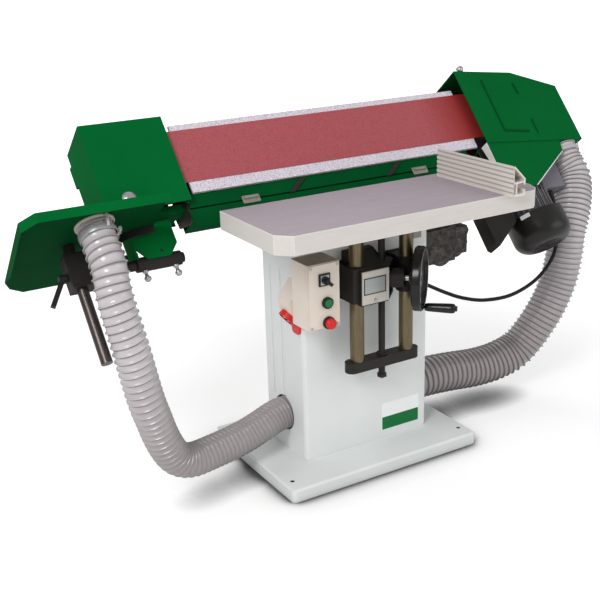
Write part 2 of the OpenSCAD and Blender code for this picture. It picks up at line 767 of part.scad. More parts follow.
module contour_bar() {
  color("#2c2a27") in_head() rod_u(bar_d, post_u + post_d / 2 + 5, -458, bar_w, bar_n);
}

module clamp_block() {
  color("#2c2a27") in_head() difference() {
    box3(-757, -690, -120, -32, -106, -58);
    rod_u(bar_d, post_u + post_d / 2 + 5, -680, bar_w, bar_n);
    rod_w(post_d + 2 * run, -125, -25, post_u, bar_n);
    rod_u(10 + 2 * run, -760, post_u, -84, bar_n);
  }
}

module clamp_lever() {
  color("#201f1e") in_head() {
    rod_u(10, -776, post_u - post_d / 2 - 1, -84, bar_n);
    rod_u(20, -778, -758, -84, bar_n);
    translate([-768, -84, bar_n]) rotate([0, 0, -33.5]) box3(-6, 6, -78, 0, -6, 6);
  }
}

module thumb_screw(u) {
  color("#c9c9cb") in_head() translate([u, 0, bar_n]) rotate([-90, 0, 0]) rotate_extrude()
    polygon([[0, -132], [6, -132], [9, -128], [9, -123], [5, -118], [4.4, -111], [8, -108], [8, -104.4],
      [4, -104.4], [4, -bar_d / 2 + bar_w - 0.4], [0, -bar_d / 2 + bar_w - 0.4]]);
}

module thumb_screw_a() {
  thumb_screw(thumb_us[0]);
}

module thumb_screw_b() {
  thumb_screw(thumb_us[1]);
}

module contour_top() {
  e = top_edge_u;
  color("#0b5a2b") in_head() difference() {
    extrude_w(-rim_h, 0) polygon([[e, 114], [-842, 114], [-874, 78], [-864, -232], [-848, -272],
      [-808, -308], [e, -308]]);
    extrude_w(-rim_h - 1, -4) polygon([[e + 5, 111], [-840.8, 111], [-871, 77], [-861, -231],
      [-845.5, -270.5], [-807, -305], [e + 5, -305]]);
    translate([-900, 0, 0]) rotate([90, 0, 90]) linear_extrude(420)
      polygon([[-rim_h - 5, -120], [-4, -240], [-4, -320], [-rim_h - 5, -320]]);
    rod_w(2 * notch_r, -rim_h - 5, 5, notch_u, notch_n);
    box3(notch_u, e + 10, -rim_h - 5, 5, notch_n - notch_r, notch_n + notch_r);
    rod_w(port_l_od - 6, -10, 5, port_l_u, port_l_n);
  }
}

module contour_post() {
  color("#a7a9ab") in_head() rod_w(post_d, -313, -4, post_u, bar_n);
}

module contour_port() {
  color("#cfc8bd") in_head() difference() {
    union() {
      rod_w(port_l_od, -64, -4, port_l_u, port_l_n);
      rod_w(port_l_od + 22, -8, -4, port_l_u, port_l_n);
    }
    rod_w(port_l_od - 6, -70, 0, port_l_u, port_l_n);
  }
}

module brake_box() {
  color("#1b1a19") in_head() extrude_n(-95, -45)
    polygon([[452, -20], [452, -244], [462, -252], [556, -190], [556, -20]]);
}

module end_plate() {
  color("#221f1c") in_head() translate([-431, 0, 0]) rotate([90, 0, 90]) linear_extrude(6) difference() {
    polygon([[66, -14.2], [-20, -14.2], [-21.5, -46], [-1, -103], [66, -112]]);
    translate([11.7, -75.3]) square([20.6, 48.6]);
  }
}

module table_top() {
  t = 8;
  color("#cfc8c4") {
    difference() {
      translate([0, 0, skirt_z]) linear_extrude(skirt_h) polygon([[table_x0, table_y1], [table_x1, table_y1],
        [table_x1, table_y0 + 57], [table_x1 - 12, table_y0 + 20], [table_x1 - 35, table_y0],
        [table_x0 + 34, table_y0], [table_x0, table_y0 + 35]]);
      difference() {
        translate([0, 0, skirt_z - 1]) linear_extrude(skirt_h - 8) polygon([[table_x0 + t, table_y1 - t],
          [table_x1 - t, table_y1 - t], [table_x1 - t, table_y0 + 59], [table_x1 - 18, table_y0 + 26],
          [table_x1 - 38, table_y0 + t], [table_x0 + 37, table_y0 + t], [table_x0 + t, table_y0 + 38]]);
        for (x = col_xs) translate([x, lift_y, skirt_z]) cylinder(d = column_d + 28, h = skirt_h);
        box3(col_xs[0], col_xs[1], lift_y - 5, lift_y + 5, skirt_z + 14, table_z);
      }
      for (x = col_xs) translate([x, lift_y, skirt_z - 2]) cylinder(d = column_d, h = skirt_h - 14);
    }
  }
}

module columns() {
  color("#6e6450") for (x = col_xs)
    translate([x, lift_y, 296]) cylinder(d = column_d, h = skirt_z + skirt_h - 312);
}

module cross_bar() {
  color("#262422") difference() {
    union() {
      box3(col_xs[0] - 16, col_xs[1] + 16, lift_y - 20, lift_y + 20, 296, 324);
      for (x = [col_xs[0] - 16, col_xs[1] + 16]) translate([x, lift_y, 296]) cylinder(d = 40, h = 28);
    }
    for (x = col_xs) translate([x, lift_y, 290]) cylinder(d = column_d, h = 40);
    translate([lift_x, lift_y, 290]) cylinder(d = 18, h = 40);
  }
}

module lift_spindle() {
  color("#24221f") translate([lift_x, lift_y, 0]) {
    translate([0, 0, 258]) cylinder(d = 18, h = 420);
    translate([0, 0, 260]) cylinder(d = 28, h = 8, $fn = 6);
    translate([0, 0, 324]) cylinder(d = 28, h = 6);
  }
}

// a straight bevel tooth ring; it narrows towards the point where both gear axes meet
module bevel(phase) {
  n = gear_teeth;
  p = 360 / n;
  pts = [for (i = [0 : n - 1], q = [[-0.28, -2.6], [-0.1, 1.5], [0.1, 1.5], [0.28, -2.6]])
    let (a = p * (i + q[0]) + phase, r = gear_r + q[1]) [r * cos(a), r * sin(a)]];
  linear_extrude(gear_h, scale = (gear_r - gear_h) / gear_r) polygon(pts);
}

module gear_nut() {
  color("#9a8a55") translate([lift_x, lift_y, 0]) difference() {
    union() {
      translate([0, 0, shaft_z - gear_r]) bevel(-45 + 180 / gear_teeth);
      translate([0, 0, 496.5]) cylinder(d = 34, h = shaft_z - gear_r - 496.5 + 0.01);
    }
    translate([0, 0, 490]) cylinder(d = 18 + 2 * run, h = 60);
  }
}

module wheel_shaft() {
  color("#8d8f91") on_shaft() {
    translate([0, 0, gear_r]) mirror([0, 0, 1]) bevel(0);
    translate([0, 0, gear_r - 0.01]) cylinder(d = 16, h = 82);
  }
}

module handwheel() {
  r = wheel_d / 2;
  color("#1e1d1c") on_shaft() {
    rotate_extrude() polygon([[8, 74], [20, 74], [22, 84], [r - 15, 96], [r - 15, 90], [r - 12, 87],
      [r - 3, 87], [r, 92], [r, 107], [r - 3, 112], [r - 12, 112], [r - 15, 104], [22, 94], [20, 104],
      [8, 104]]);
    translate([crank_r, 0, 100]) cylinder(d = 8, h = 96);
    translate([crank_r, 0, 194]) cylinder(d = 14, h = 4);
  }
}

module crank_handle() {
  color("#1a1a1a") on_shaft() translate([crank_r, 0, 0]) rotate_extrude()
    polygon([[4 + run, 114], [9, 114], [11, 122], [13, 182], [12, 190], [8, 193.4], [4 + run, 193.4]]);
}

module fence() {
  h = fence_h;
  color("#d9d4cd") translate([fence_x, fence_y1, table_z + seat]) rotate([90, 0, 0]) linear_extrude(fence_l)
    difference() {
      polygon([[0, 0], [0, h], [5, h], [40, h - 34], [40, 0]]);
      polygon([[4, h - 40], [4, h - 6], [6, h - 6], [36, h - 36], [36, h - 40]]);
      translate([14, 6]) square([22, h - 50]);
      translate([30, 16]) square([20, 12]);
      for (z = [8 : 12 : h - 8]) translate([-1, z]) square([3.2, 4.5]);
      translate([4, 6]) square([6, h - 50]);
    }
}

module fence_carrier() {
  z = table_z + seat;
  color("#8f8d8a") difference() {
    union() {
      box3(fence_x + 42, fence_x + 90, -290, -170, table_z, table_z + 8);
      box3(fence_x + 42, fence_x + 50, -290, -170, table_z, table_z + 46);
      box3(fence_x + 30, fence_x + 43, -286, -174, z + 16.5, z + 27.5);
      box3(fence_x + 15, fence_x + 35, -286, -174, z + 10, z + fence_h - 48);
    }
    translate([fence_x + 30, -230, table_z + 37]) rotate([0, 90, 0]) cylinder(d = 8 + 2 * run, h = 40);
  }
}

module fence_knob() {
  color("#1e1e1e") translate([0, -230, table_z + 37]) {
    translate([fence_x + 41, 0, 0]) rotate([0, 90, 0]) cylinder(d = 8, h = 14);
    translate([fence_x + 50.4, 0, 0]) rotate([0, 90, 0]) cylinder(d = 16, h = 8);
    translate([fence_x + 58, 0, 0]) rotate([0, 90, 0]) cylinder(d = 30, h = 14);
    for (a = [0 : 60 : 300]) translate([fence_x + 58, 14 * cos(a), 14 * sin(a)]) rotate([0, 90, 0])
      cylinder(d = 8, h = 14);
  }
}

base_plate();
pedestal();
dust_tee();
bearing_block();
tilt_casting();
stand_fasteners();
lift_housing();
housing_plate();
control_box();
box_lid();
switch_bezels();
inlet_housing();
inlet_collar();
left_hose();
right_hose();
motor_cable();
head_frame();
platen();
abrasive_belt();
motor_body();
terminal_box();
fan_cover();
hood();
idler_arm();
contour_bracket();
brake_box();
end_plate();
tilt_shaft();
motor_shaft();
drive_drum();
cooling_fan();
idler_carriage();
idler_drum();
idler_bearings();
idler_cover();
door_knob();
hood_knob();
contour_bar();
clamp_block();
contour_top();
contour_post();
contour_port();
clamp_lever();
thumb_screw_a();
thumb_screw_b();
tilt_lever();
table_top();
columns();
cross_bar();
lift_spindle();
gear_nut();
handwheel();
wheel_shaft();
crank_handle();
fence();
fence_carrier();
fence_knob();
selector();
start_button();
stop_button();
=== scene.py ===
"""Looks of an edge sander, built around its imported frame. Metres; X along the belt, Y to the back, Z up."""

import logging
import math
from dataclasses import dataclass, field
from enum import Enum
from typing import Callable, ClassVar, Iterable, Sequence

import bmesh
import bpy
from mathutils import Matrix, Vector, noise


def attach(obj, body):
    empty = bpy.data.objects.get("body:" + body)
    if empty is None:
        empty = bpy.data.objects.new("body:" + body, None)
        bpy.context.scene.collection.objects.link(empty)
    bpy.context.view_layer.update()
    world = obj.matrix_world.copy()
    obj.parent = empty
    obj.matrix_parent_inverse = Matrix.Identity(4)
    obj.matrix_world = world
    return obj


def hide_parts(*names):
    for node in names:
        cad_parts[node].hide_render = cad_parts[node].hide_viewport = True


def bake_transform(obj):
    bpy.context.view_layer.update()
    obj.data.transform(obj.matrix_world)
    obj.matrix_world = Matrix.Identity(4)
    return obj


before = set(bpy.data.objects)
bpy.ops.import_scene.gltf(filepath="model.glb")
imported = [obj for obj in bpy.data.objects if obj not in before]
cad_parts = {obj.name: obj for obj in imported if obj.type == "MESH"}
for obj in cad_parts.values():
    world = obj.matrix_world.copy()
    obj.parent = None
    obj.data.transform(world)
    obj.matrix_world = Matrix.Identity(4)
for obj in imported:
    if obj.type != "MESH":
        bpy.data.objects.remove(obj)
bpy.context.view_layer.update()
LOG = logging.getLogger("edge_sander")

Point = Sequence[float]
Pair = tuple[float, float]
Triple = tuple[float, float, float]
Face = tuple[int, ...]
Colour = tuple[int, int, int]
Mesh = bpy.types.Object
Socket = bpy.types.NodeSocket
NodeTree = bpy.types.NodeTree


# The head's own frame


@dataclass(frozen=True)
class HeadFrame:
    """Place of the belt head: u runs along the belt, w across it and n out of its face."""

    tilt: float = math.radians(41)
    origin: Triple = (0.0, 0.012, 0.756)

    @property
    def across(self) -> Vector:
        """Unit vector across the belt."""
        return Vector((0, math.sin(self.tilt), math.cos(self.tilt)))

    @property
    def outward(self) -> Vector:
        """Unit vector out of the belt's face."""
        return Vector((0, -math.cos(self.tilt), math.sin(self.tilt)))

    def at(self, u: float, w: float, n: float) -> Vector:
        """Turns head coordinates in millimetres into a point.

        Args:
            u: along the belt.
            w: across the belt.
            n: out of the belt's face.

        Returns:
            The point in the shared frame, in metres.
        """
        return Vector(self.origin) + (Vector((u, 0, 0)) + w * self.across + n * self.outward) / 1000

    def frame(self, place: Point, x: Point = (1, 0, 0), y: Point = (0, 1, 0)) -> Matrix:
        """A frame on the head, given in head coordinates.

        Args:
            place: its origin in millimetres.
            x: direction of its x axis.
            y: direction of its y axis, square to x.

        Returns:
            The frame, whose z axis is square to both.
        """
        turn = Matrix((Vector((1, 0, 0)), self.across, self.outward)).transposed()
        a, b = (turn @ Vector(x)).normalized(), (turn @ Vector(y)).normalized()
        return Matrix.Translation(self.at(*place)) @ Matrix((a, b, a.cross(b))).transposed().to_4x4()


HEAD = HeadFrame()


def mm(*values: float) -> Vector:
    """A point given in millimetres, in metres."""
    return Vector(values) / 1000


def moved(x: float, y: float, z: float) -> Matrix:
    """The shared frame moved by millimetres."""
    return Matrix.Translation(mm(x, y, z))


def four_corners(x: float, y: float) -> list[Pair]:
    """Four corners about the origin."""
    return [(a * x, b * y) for a in (-1, 1) for b in (-1, 1)]


# Meshes


def add_mesh(name: str, points: Iterable[Point], faces: Iterable[Sequence[int]],
             smooth: float = 35.0) -> Mesh:
    """Makes a mesh object.

    Args:
        name: the object's name.
        points: its corners, in metres.
        faces: its faces as corner numbers.
        smooth: edges flatter than this angle, in degrees, are shaded smooth.

    Returns:
        The linked object.
    """
    mesh = bpy.data.meshes.new(name)
    mesh.from_pydata([tuple(p) for p in points], [], [tuple(f) for f in faces])
    mesh.validate()
    mesh.update()
    obj = bpy.data.objects.new(name, mesh)
    bpy.context.collection.objects.link(obj)
    if smooth > 0:
        mesh.shade_smooth()
        mesh.set_sharp_from_angle(angle=math.radians(smooth))
    return obj


def grid_faces(rows: int, columns: int, start: int = 0, flip: bool = False) -> list[Face]:
    """Quads between rings of points, each ring closed on itself.

    Args:
        rows: number of rings.
        columns: points in a ring.
        start: number of the first point.
        flip: turns the faces over.

    Returns:
        The quads.
    """
    quads = []
    for i in range(rows - 1):
        for j in range(columns):
            a, b = start + i * columns + j, start + i * columns + (j + 1) % columns
            quad = (a, b, b + columns, a + columns)
            quads.append(quad[::-1] if flip else quad)
    return quads


def end_faces(rows: int, columns: int) -> list[Face]:
    """The two faces that close the first and the last of some rings."""
    return [tuple(range(columns))[::-1], tuple(range((rows - 1) * columns, rows * columns))]


def joining_faces(rows: int, columns: int) -> list[Face]:
    """Quads from the last ring back to the first."""
    last = (rows - 1) * columns
    return [(last + j, last + (j + 1) % columns, (j + 1) % columns, j) for j in range(columns)]


def lathe(name: str, profile: Sequence[Pair], place: Matrix, sides: int = 40,
          smooth: float = 35.0) -> Mesh:
    """Turns a profile about the z axis of a frame.

    Args:
        name: the object's name.
        profile: (radius, height) points in millimetres, upwards on the outside; a closed one repeats
            its first point.
        place: the frame.
        sides: points around.
        smooth: smoothing angle in degrees.

    Returns:
        The object.
    """
    closed = profile[0] == profile[-1]
    rings = profile[:-1] if closed else profile
    points = [place @ mm(r * math.cos(2 * math.pi * j / sides), r * math.sin(2 * math.pi * j / sides), h)
              for r, h in rings for j in range(sides)]
    close = joining_faces if closed else end_faces
    return add_mesh(name, points, grid_faces(len(rings), sides) + close(len(rings), sides), smooth)


def slab(name: str, outline: Sequence[Pair], low: float, high: float, place: Matrix,
         edge: float = 0.6) -> Mesh:
    """A plate with small bevelled edges.

    Args:
        name: the object's name.
        outline: (x, y) corners in millimetres, in the frame.
        low: height of its underside, in millimetres.
        high: height of its top, in millimetres.
        place: the frame.
        edge: bevel width in millimetres.

    Returns:
        The object.
    """
    count = len(outline)
    points = [place @ mm(x, y, z) for z in (low, high) for x, y in outline]
    faces: list[Face] = [tuple(range(count))[::-1], tuple(range(count, 2 * count))]
    faces += [(i, (i + 1) % count, count + (i + 1) % count, count + i) for i in range(count)]
    obj = add_mesh(name, points, faces, 30.0)
    bevel = obj.modifiers.new("edge", "BEVEL")
    bevel.width = edge / 1000
    bevel.segments = 2
    bevel.limit_method = "ANGLE"
    return obj


def oblong(x0: float, x1: float, y0: float, y1: float, r: float, steps: int = 5) -> list[Pair]:
    """Outline of a rectangle with rounded corners, in millimetres."""
    corners = ((x1 - r, y1 - r, 0), (x0 + r, y1 - r, 90), (x0 + r, y0 + r, 180), (x1 - r, y0 + r, 270))
    turns = [(x, y, math.radians(a + 90 * k / steps)) for x, y, a in corners for k in range(steps + 1)]
    return [(x + r * math.cos(a), y + r * math.sin(a)) for x, y, a in turns]


def window(name: str, outer: Sequence[float], inner: Sequence[float], low: float, high: float,
           place: Matrix) -> Mesh:
    """A flat frame around an opening.

    Args:
        name: the object's name.
        outer: (x0, x1, y0, y1) of its outside, in millimetres.
        inner: the same for the opening.
        low: height of its underside.
        high: height of its top.
        place: the frame it lies in.

    Returns:
        The object.
    """
    def ring(box: Sequence[float], z: float) -> list[Vector]:
        """The four corners of a box at a height."""
        x0, x1, y0, y1 = box
        return [place @ mm(x, y, z) for x, y in ((x0, y0), (x1, y0), (x1, y1), (x0, y1))]

    points = ring(outer, low) + ring(outer, high) + ring(inner, high) + ring(inner, low)
    return add_mesh(name, points, grid_faces(4, 4) + joining_faces(4, 4), 30.0)


def ridge(name: str, corners: Sequence[Pair], wide: float, high: float, place: Matrix,
          steps: int = 8) -> Mesh:
    """A rounded ridge along a line in the xy plane of a frame, with ends that run out.

    Args:
        name: the object's name.
        corners: the line's (x, y) corners in millimetres.
        wide: width of the ridge.
        high: its height.
        place: the frame.
        steps: faces over the crown.

    Returns:
        The object.
    """
    tip, sunk, tightest = 0.1, 0.15, 0.3
    line = [Vector((x, y, 0)) for x, y in corners]
    ahead = [(b - a).normalized() for a, b in zip(line, line[1:])]
    spots: list[tuple[Vector, Vector, float]] = []
    for i, spot in enumerate(line):
        before, after = ahead[max(i - 1, 0)], ahead[min(i, len(ahead) - 1)]
        mean = (before + after).normalized()
        side = Vector((-mean.y, mean.x, 0)) / max(tightest, mean.dot(after))
        if i == 0:
            spots.append((spot - after * wide / 2, side, tip))
        spots.append((spot, side, 1.0))
        if i == len(line) - 1:
            spots.append((spot + before * wide / 2, side, tip))
    points = []
    for centre, side, grow in spots:
        for k in range(steps + 1):
            turn = math.pi * k / steps
            lift = Vector((0, 0, high * math.sin(turn) * grow - sunk))
            points.append(place @ ((centre - side * (wide / 2 * math.cos(turn) * grow) + lift) / 1000))
    count = steps + 1
    faces = grid_faces(len(spots), count, 0, True)
    faces += [tuple(range(count)), tuple(range((len(spots) - 1) * count, len(spots) * count))[::-1]]
    return add_mesh(name, points, faces, 50.0)


def lumpy(name: str, centre: Point, half: Point, amount: float, seed: float, rows: int = 30,
          columns: int = 56) -> Mesh:
    """A boxy lump with a rough skin, as a casting comes out of the sand.

    Args:
        name: the object's name.
        centre: its middle in millimetres.
        half: half its size along each axis.
        amount: height of the roughness.
        seed: shifts the pattern.
        rows: rings from pole to pole.
        columns: points in a ring.

    Returns:
        The object.
    """
    points = []
    boxy, lumps, pits = 5, 2.3, 7.1
    coarse, fine = Vector((seed, 0, 0)), Vector((0, seed, 0))
    for i in range(rows):
        tip = math.pi * (i + 0.5) / rows - math.pi / 2
        for j in range(columns):
            turn = 2 * math.pi * j / columns
            way = Vector((math.cos(tip) * math.cos(turn), math.cos(tip) * math.sin(turn), math.sin(tip)))
            reach = sum(abs(d / h) ** boxy for d, h in zip(way, half)) ** (-1 / boxy)
            rough = noise.noise(way * lumps + coarse) + 0.6 * noise.noise(way * pits + fine)
            points.append((Vector(centre) + way * (reach + amount * rough)) / 1000)
    return add_mesh(name, points, grid_faces(rows, columns) + end_faces(rows, columns), 50.0)


def strap(path: Sequence[Vector], side: Vector, thick: Vector) -> tuple[list[Vector], list[Face]]:
    """Points and faces of a bent flat strap.

    Args:
        path: its middle line, in metres.
        side: half its width.
        thick: half its thickness.

    Returns:
        Points and faces, counted from 0.
    """
    points = [spot + a * side + b * thick for spot in path for a, b in ((-1, -1), (1, -1), (1, 1), (-1, 1))]
    last = 4 * (len(path) - 1)
    return points, grid_faces(len(path), 4) + [(3, 2, 1, 0), (last, last + 1, last + 2, last + 3)]


def facing_front(x: float, y: float, z: float) -> Matrix:
    """A frame in millimetres whose z points to the front (-Y), x right and y up."""
    return moved(x, y, z) @ Matrix(((1, 0, 0), (0, 0, -1), (0, 1, 0))).to_4x4()


# Smooth routes of hoses and cable


class Route:
    """A smooth line through points, with places counted along its length."""

    def __init__(self, points: Sequence[Vector], steps: int) -> None:
        """Keeps the line.

        Args:
            points: what it passes through, in metres.
            steps: pieces between two points.
        """
        self.line: list[Vector] = []
        last = len(points) - 1
        for i in range(last):
            a, b, c, d = (points[max(i - 1, 0)], points[i], points[i + 1], points[min(i + 2, last)])
            for k in range(steps):
                t = k / steps
                self.line.append(0.5 * (2 * b + (c - a) * t + (2 * a - 5 * b + 4 * c - d) * t ** 2
                                        + (3 * b - a - 3 * c + d) * t ** 3))
        self.line.append(points[last].copy())
        self.sums = [0.0]
        for a, b in zip(self.line, self.line[1:]):
            self.sums.append(self.sums[-1] + (b - a).length)

    @property
    def length(self) -> float:
        """Length of the line in metres."""
        return self.sums[-1]

    def at(self, s: float) -> Vector:
        """The point that far along the line."""
        s = min(max(s, 0.0), self.length)
        for i in range(1, len(self.sums)):
            if s <= self.sums[i] + 1e-12:
                span = self.sums[i] - self.sums[i - 1]
                return self.line[i - 1].lerp(self.line[i], (s - self.sums[i - 1]) / span if span else 0.0)
        return self.line[-1].copy()

    def way(self, s: float, reach: float = 0.006) -> Vector:
        """The direction of the line there."""
        return (self.at(min(s + reach, self.length)) - self.at(max(s - reach, 0.0))).normalized()

    def square(self, s: float) -> tuple[Vector, Vector, Vector]:
        """The point there and two directions square to the line."""
        along = self.way(s)
        a = Vector((0, 1, 0)).cross(along).normalized()
        return self.at(s), a, along.cross(a)

    def ring(self, s: float, radii: Callable[[float], float], sides: int) -> list[Vector]:
        """Points around the line.

        Args:
            s: place along the line.
            radii: radius for each share of a turn, in metres.
            sides: number of points.

        Returns:
            The points.
        """
        centre, a, b = self.square(s)
        turns = [j / sides for j in range(sides)]
        return [centre + radii(t) * (math.cos(2 * math.pi * t) * a + math.sin(2 * math.pi * t) * b)
                for t in turns]


def sleeve(name: str, route: Route, profile: Sequence[Pair], sides: int = 24) -> Mesh:
    """A turned piece threaded on a route.

    Args:
        name: the object's name.
        route: the route.
        profile: closed outline of (place along the route, radius) in metres, forwards on the outside.
        sides: points around.

    Returns:
        The object.
    """
    points = [p for s, r in profile for p in route.ring(s, lambda t, r=r: r, sides)]
    faces = grid_faces(len(profile), sides) + joining_faces(len(profile), sides)
    return add_mesh(name, points, faces, 40.0)


# Finishes


class Grain(Enum):
    """The kind of fine structure that a finish shows."""

    PAINT = "paint"
    CAST = "cast"
    BRUSHED = "brushed"
    PLASTIC = "plastic"
    GRIT = "grit"
    SPECKLE = "speckle"


class Slot(Enum):
    """The frame's material slots, named for the added pieces."""

    IRON = "dark_iron"
    STEEL = "small_steel"
    BRIGHT = "bright_steel"
    BLACK = "black_iron"
    PLASTIC = "black_plastic"
    PLATE = "plate_grey"
    GREEN = "green_paint"
    GREEN_LENS = "green_plastic"
    RED = "red_plastic"
    HOSE = "hose_grey"
    CABLE = "cable_black"


@dataclass(frozen=True)
class Band:
    """A change of colour along one axis, in metres: in from start to full and out from end to gone."""

    axis: int
    start: float
    full: float
    end: float
    gone: float
    colour: Colour


@dataclass(frozen=True)
class Finish:
    """One surface finish. Colours are display values from 0 to 255."""

    name: str
    colour: Colour
    second: Colour
    grain: Grain
    size: float
    mix: float
    roughness: Pair
    bump: float
    metallic: float = 0.0
    specular: float = 0.35
    # Rubbed edges: real wear in patches; spread over every edge, the same mask paints a highlight along the
    # edges.
    wear_and_sheen: float = 0.0
    worn_and_sheen: Colour = (170, 168, 165)
    sheen_on_all_edges: float = 0.0
    edge: float = 0.0012
    stretch: Triple = (1.0, 1.0, 1.0)
    top: Colour | None = None
    top_from: Pair = (0.9, 0.97)
    band: Band | None = None
    painted_rib_shadow: Colour | None = None


Nodes = dict[Finish, list[str]]


def display(colour: Colour) -> tuple[float, float, float, float]:
    """A display colour as the linear one that a shader takes."""
    linear = [c / 255 / 12.92 if c <= 10 else ((c / 255 + 0.055) / 1.055) ** 2.4 for c in colour]
    return (linear[0], linear[1], linear[2], 1.0)


class Tree:
    """Short words for building a shader tree."""

    def __init__(self, tree: NodeTree) -> None:
        """Wraps a node tree."""
        self.tree = tree

    def add(self, kind: str, links: dict | None = None, values: dict | None = None,
            **settings: object) -> bpy.types.Node:
        """Adds a node.

        Args:
            kind: the node's type without its prefix.
            links: input name or number to the socket that feeds it.
            values: input name or number to its constant.
            **settings: properties of the node.

        Returns:
            The node.
        """
        node = self.tree.nodes.new("ShaderNode" + kind)
        for key, value in settings.items():
            setattr(node, key, value)
        for key, value in (values or {}).items():
            node.inputs[key].default_value = value
        for key, socket in (links or {}).items():
            self.tree.links.new(socket, node.inputs[key])
        return node

    def group(self, group: NodeTree, links: dict, values: dict) -> bpy.types.Node:
        """Adds a shared group, with sockets and constants for its inputs."""
        return self.add("Group", links, values, node_tree=group)

    def math(self, how: str, a: Socket, b: float | Socket) -> Socket:
        """One sum of two values."""
        links, values = {0: a}, {}
        (values if isinstance(b, (int, float)) else links)[1] = b
        return self.add("Math", links, values, operation=how).outputs[0]

    def mix(self, factor: Socket, a: Socket | tuple,
            b: Socket | tuple) -> Socket:
        """Mixes two colours."""
        links, values = {"Factor": factor}, {}
        for key, value in (("A", a), ("B", b)):
            (values if isinstance(value, tuple) else links)[key] = value
        node = self.add("Mix", data_type="RGBA")
        sockets = {"Factor": node.inputs[0], "A": node.inputs[6], "B": node.inputs[7]}
        for key, value in values.items():
            sockets[key].default_value = value
        for key, socket in links.items():
            self.tree.links.new(socket, sockets[key])
        return node.outputs[2]

    def ramp(self, value: Socket, low: float, high: float, to_low: float = 0.0,
             to_high: float = 1.0) -> Socket:
        """Maps a value from one range to another, clamped."""
        return self.add("MapRange", {"Value": value}, {1: low, 2: high, 3: to_low, 4: to_high}).outputs[0]


def fresh_tree(owner: bpy.types.Material | bpy.types.World) -> Tree:
    """An empty shader tree of a material or a world."""
    owner.use_nodes = True
    owner.node_tree.nodes.clear()
    return Tree(owner.node_tree)


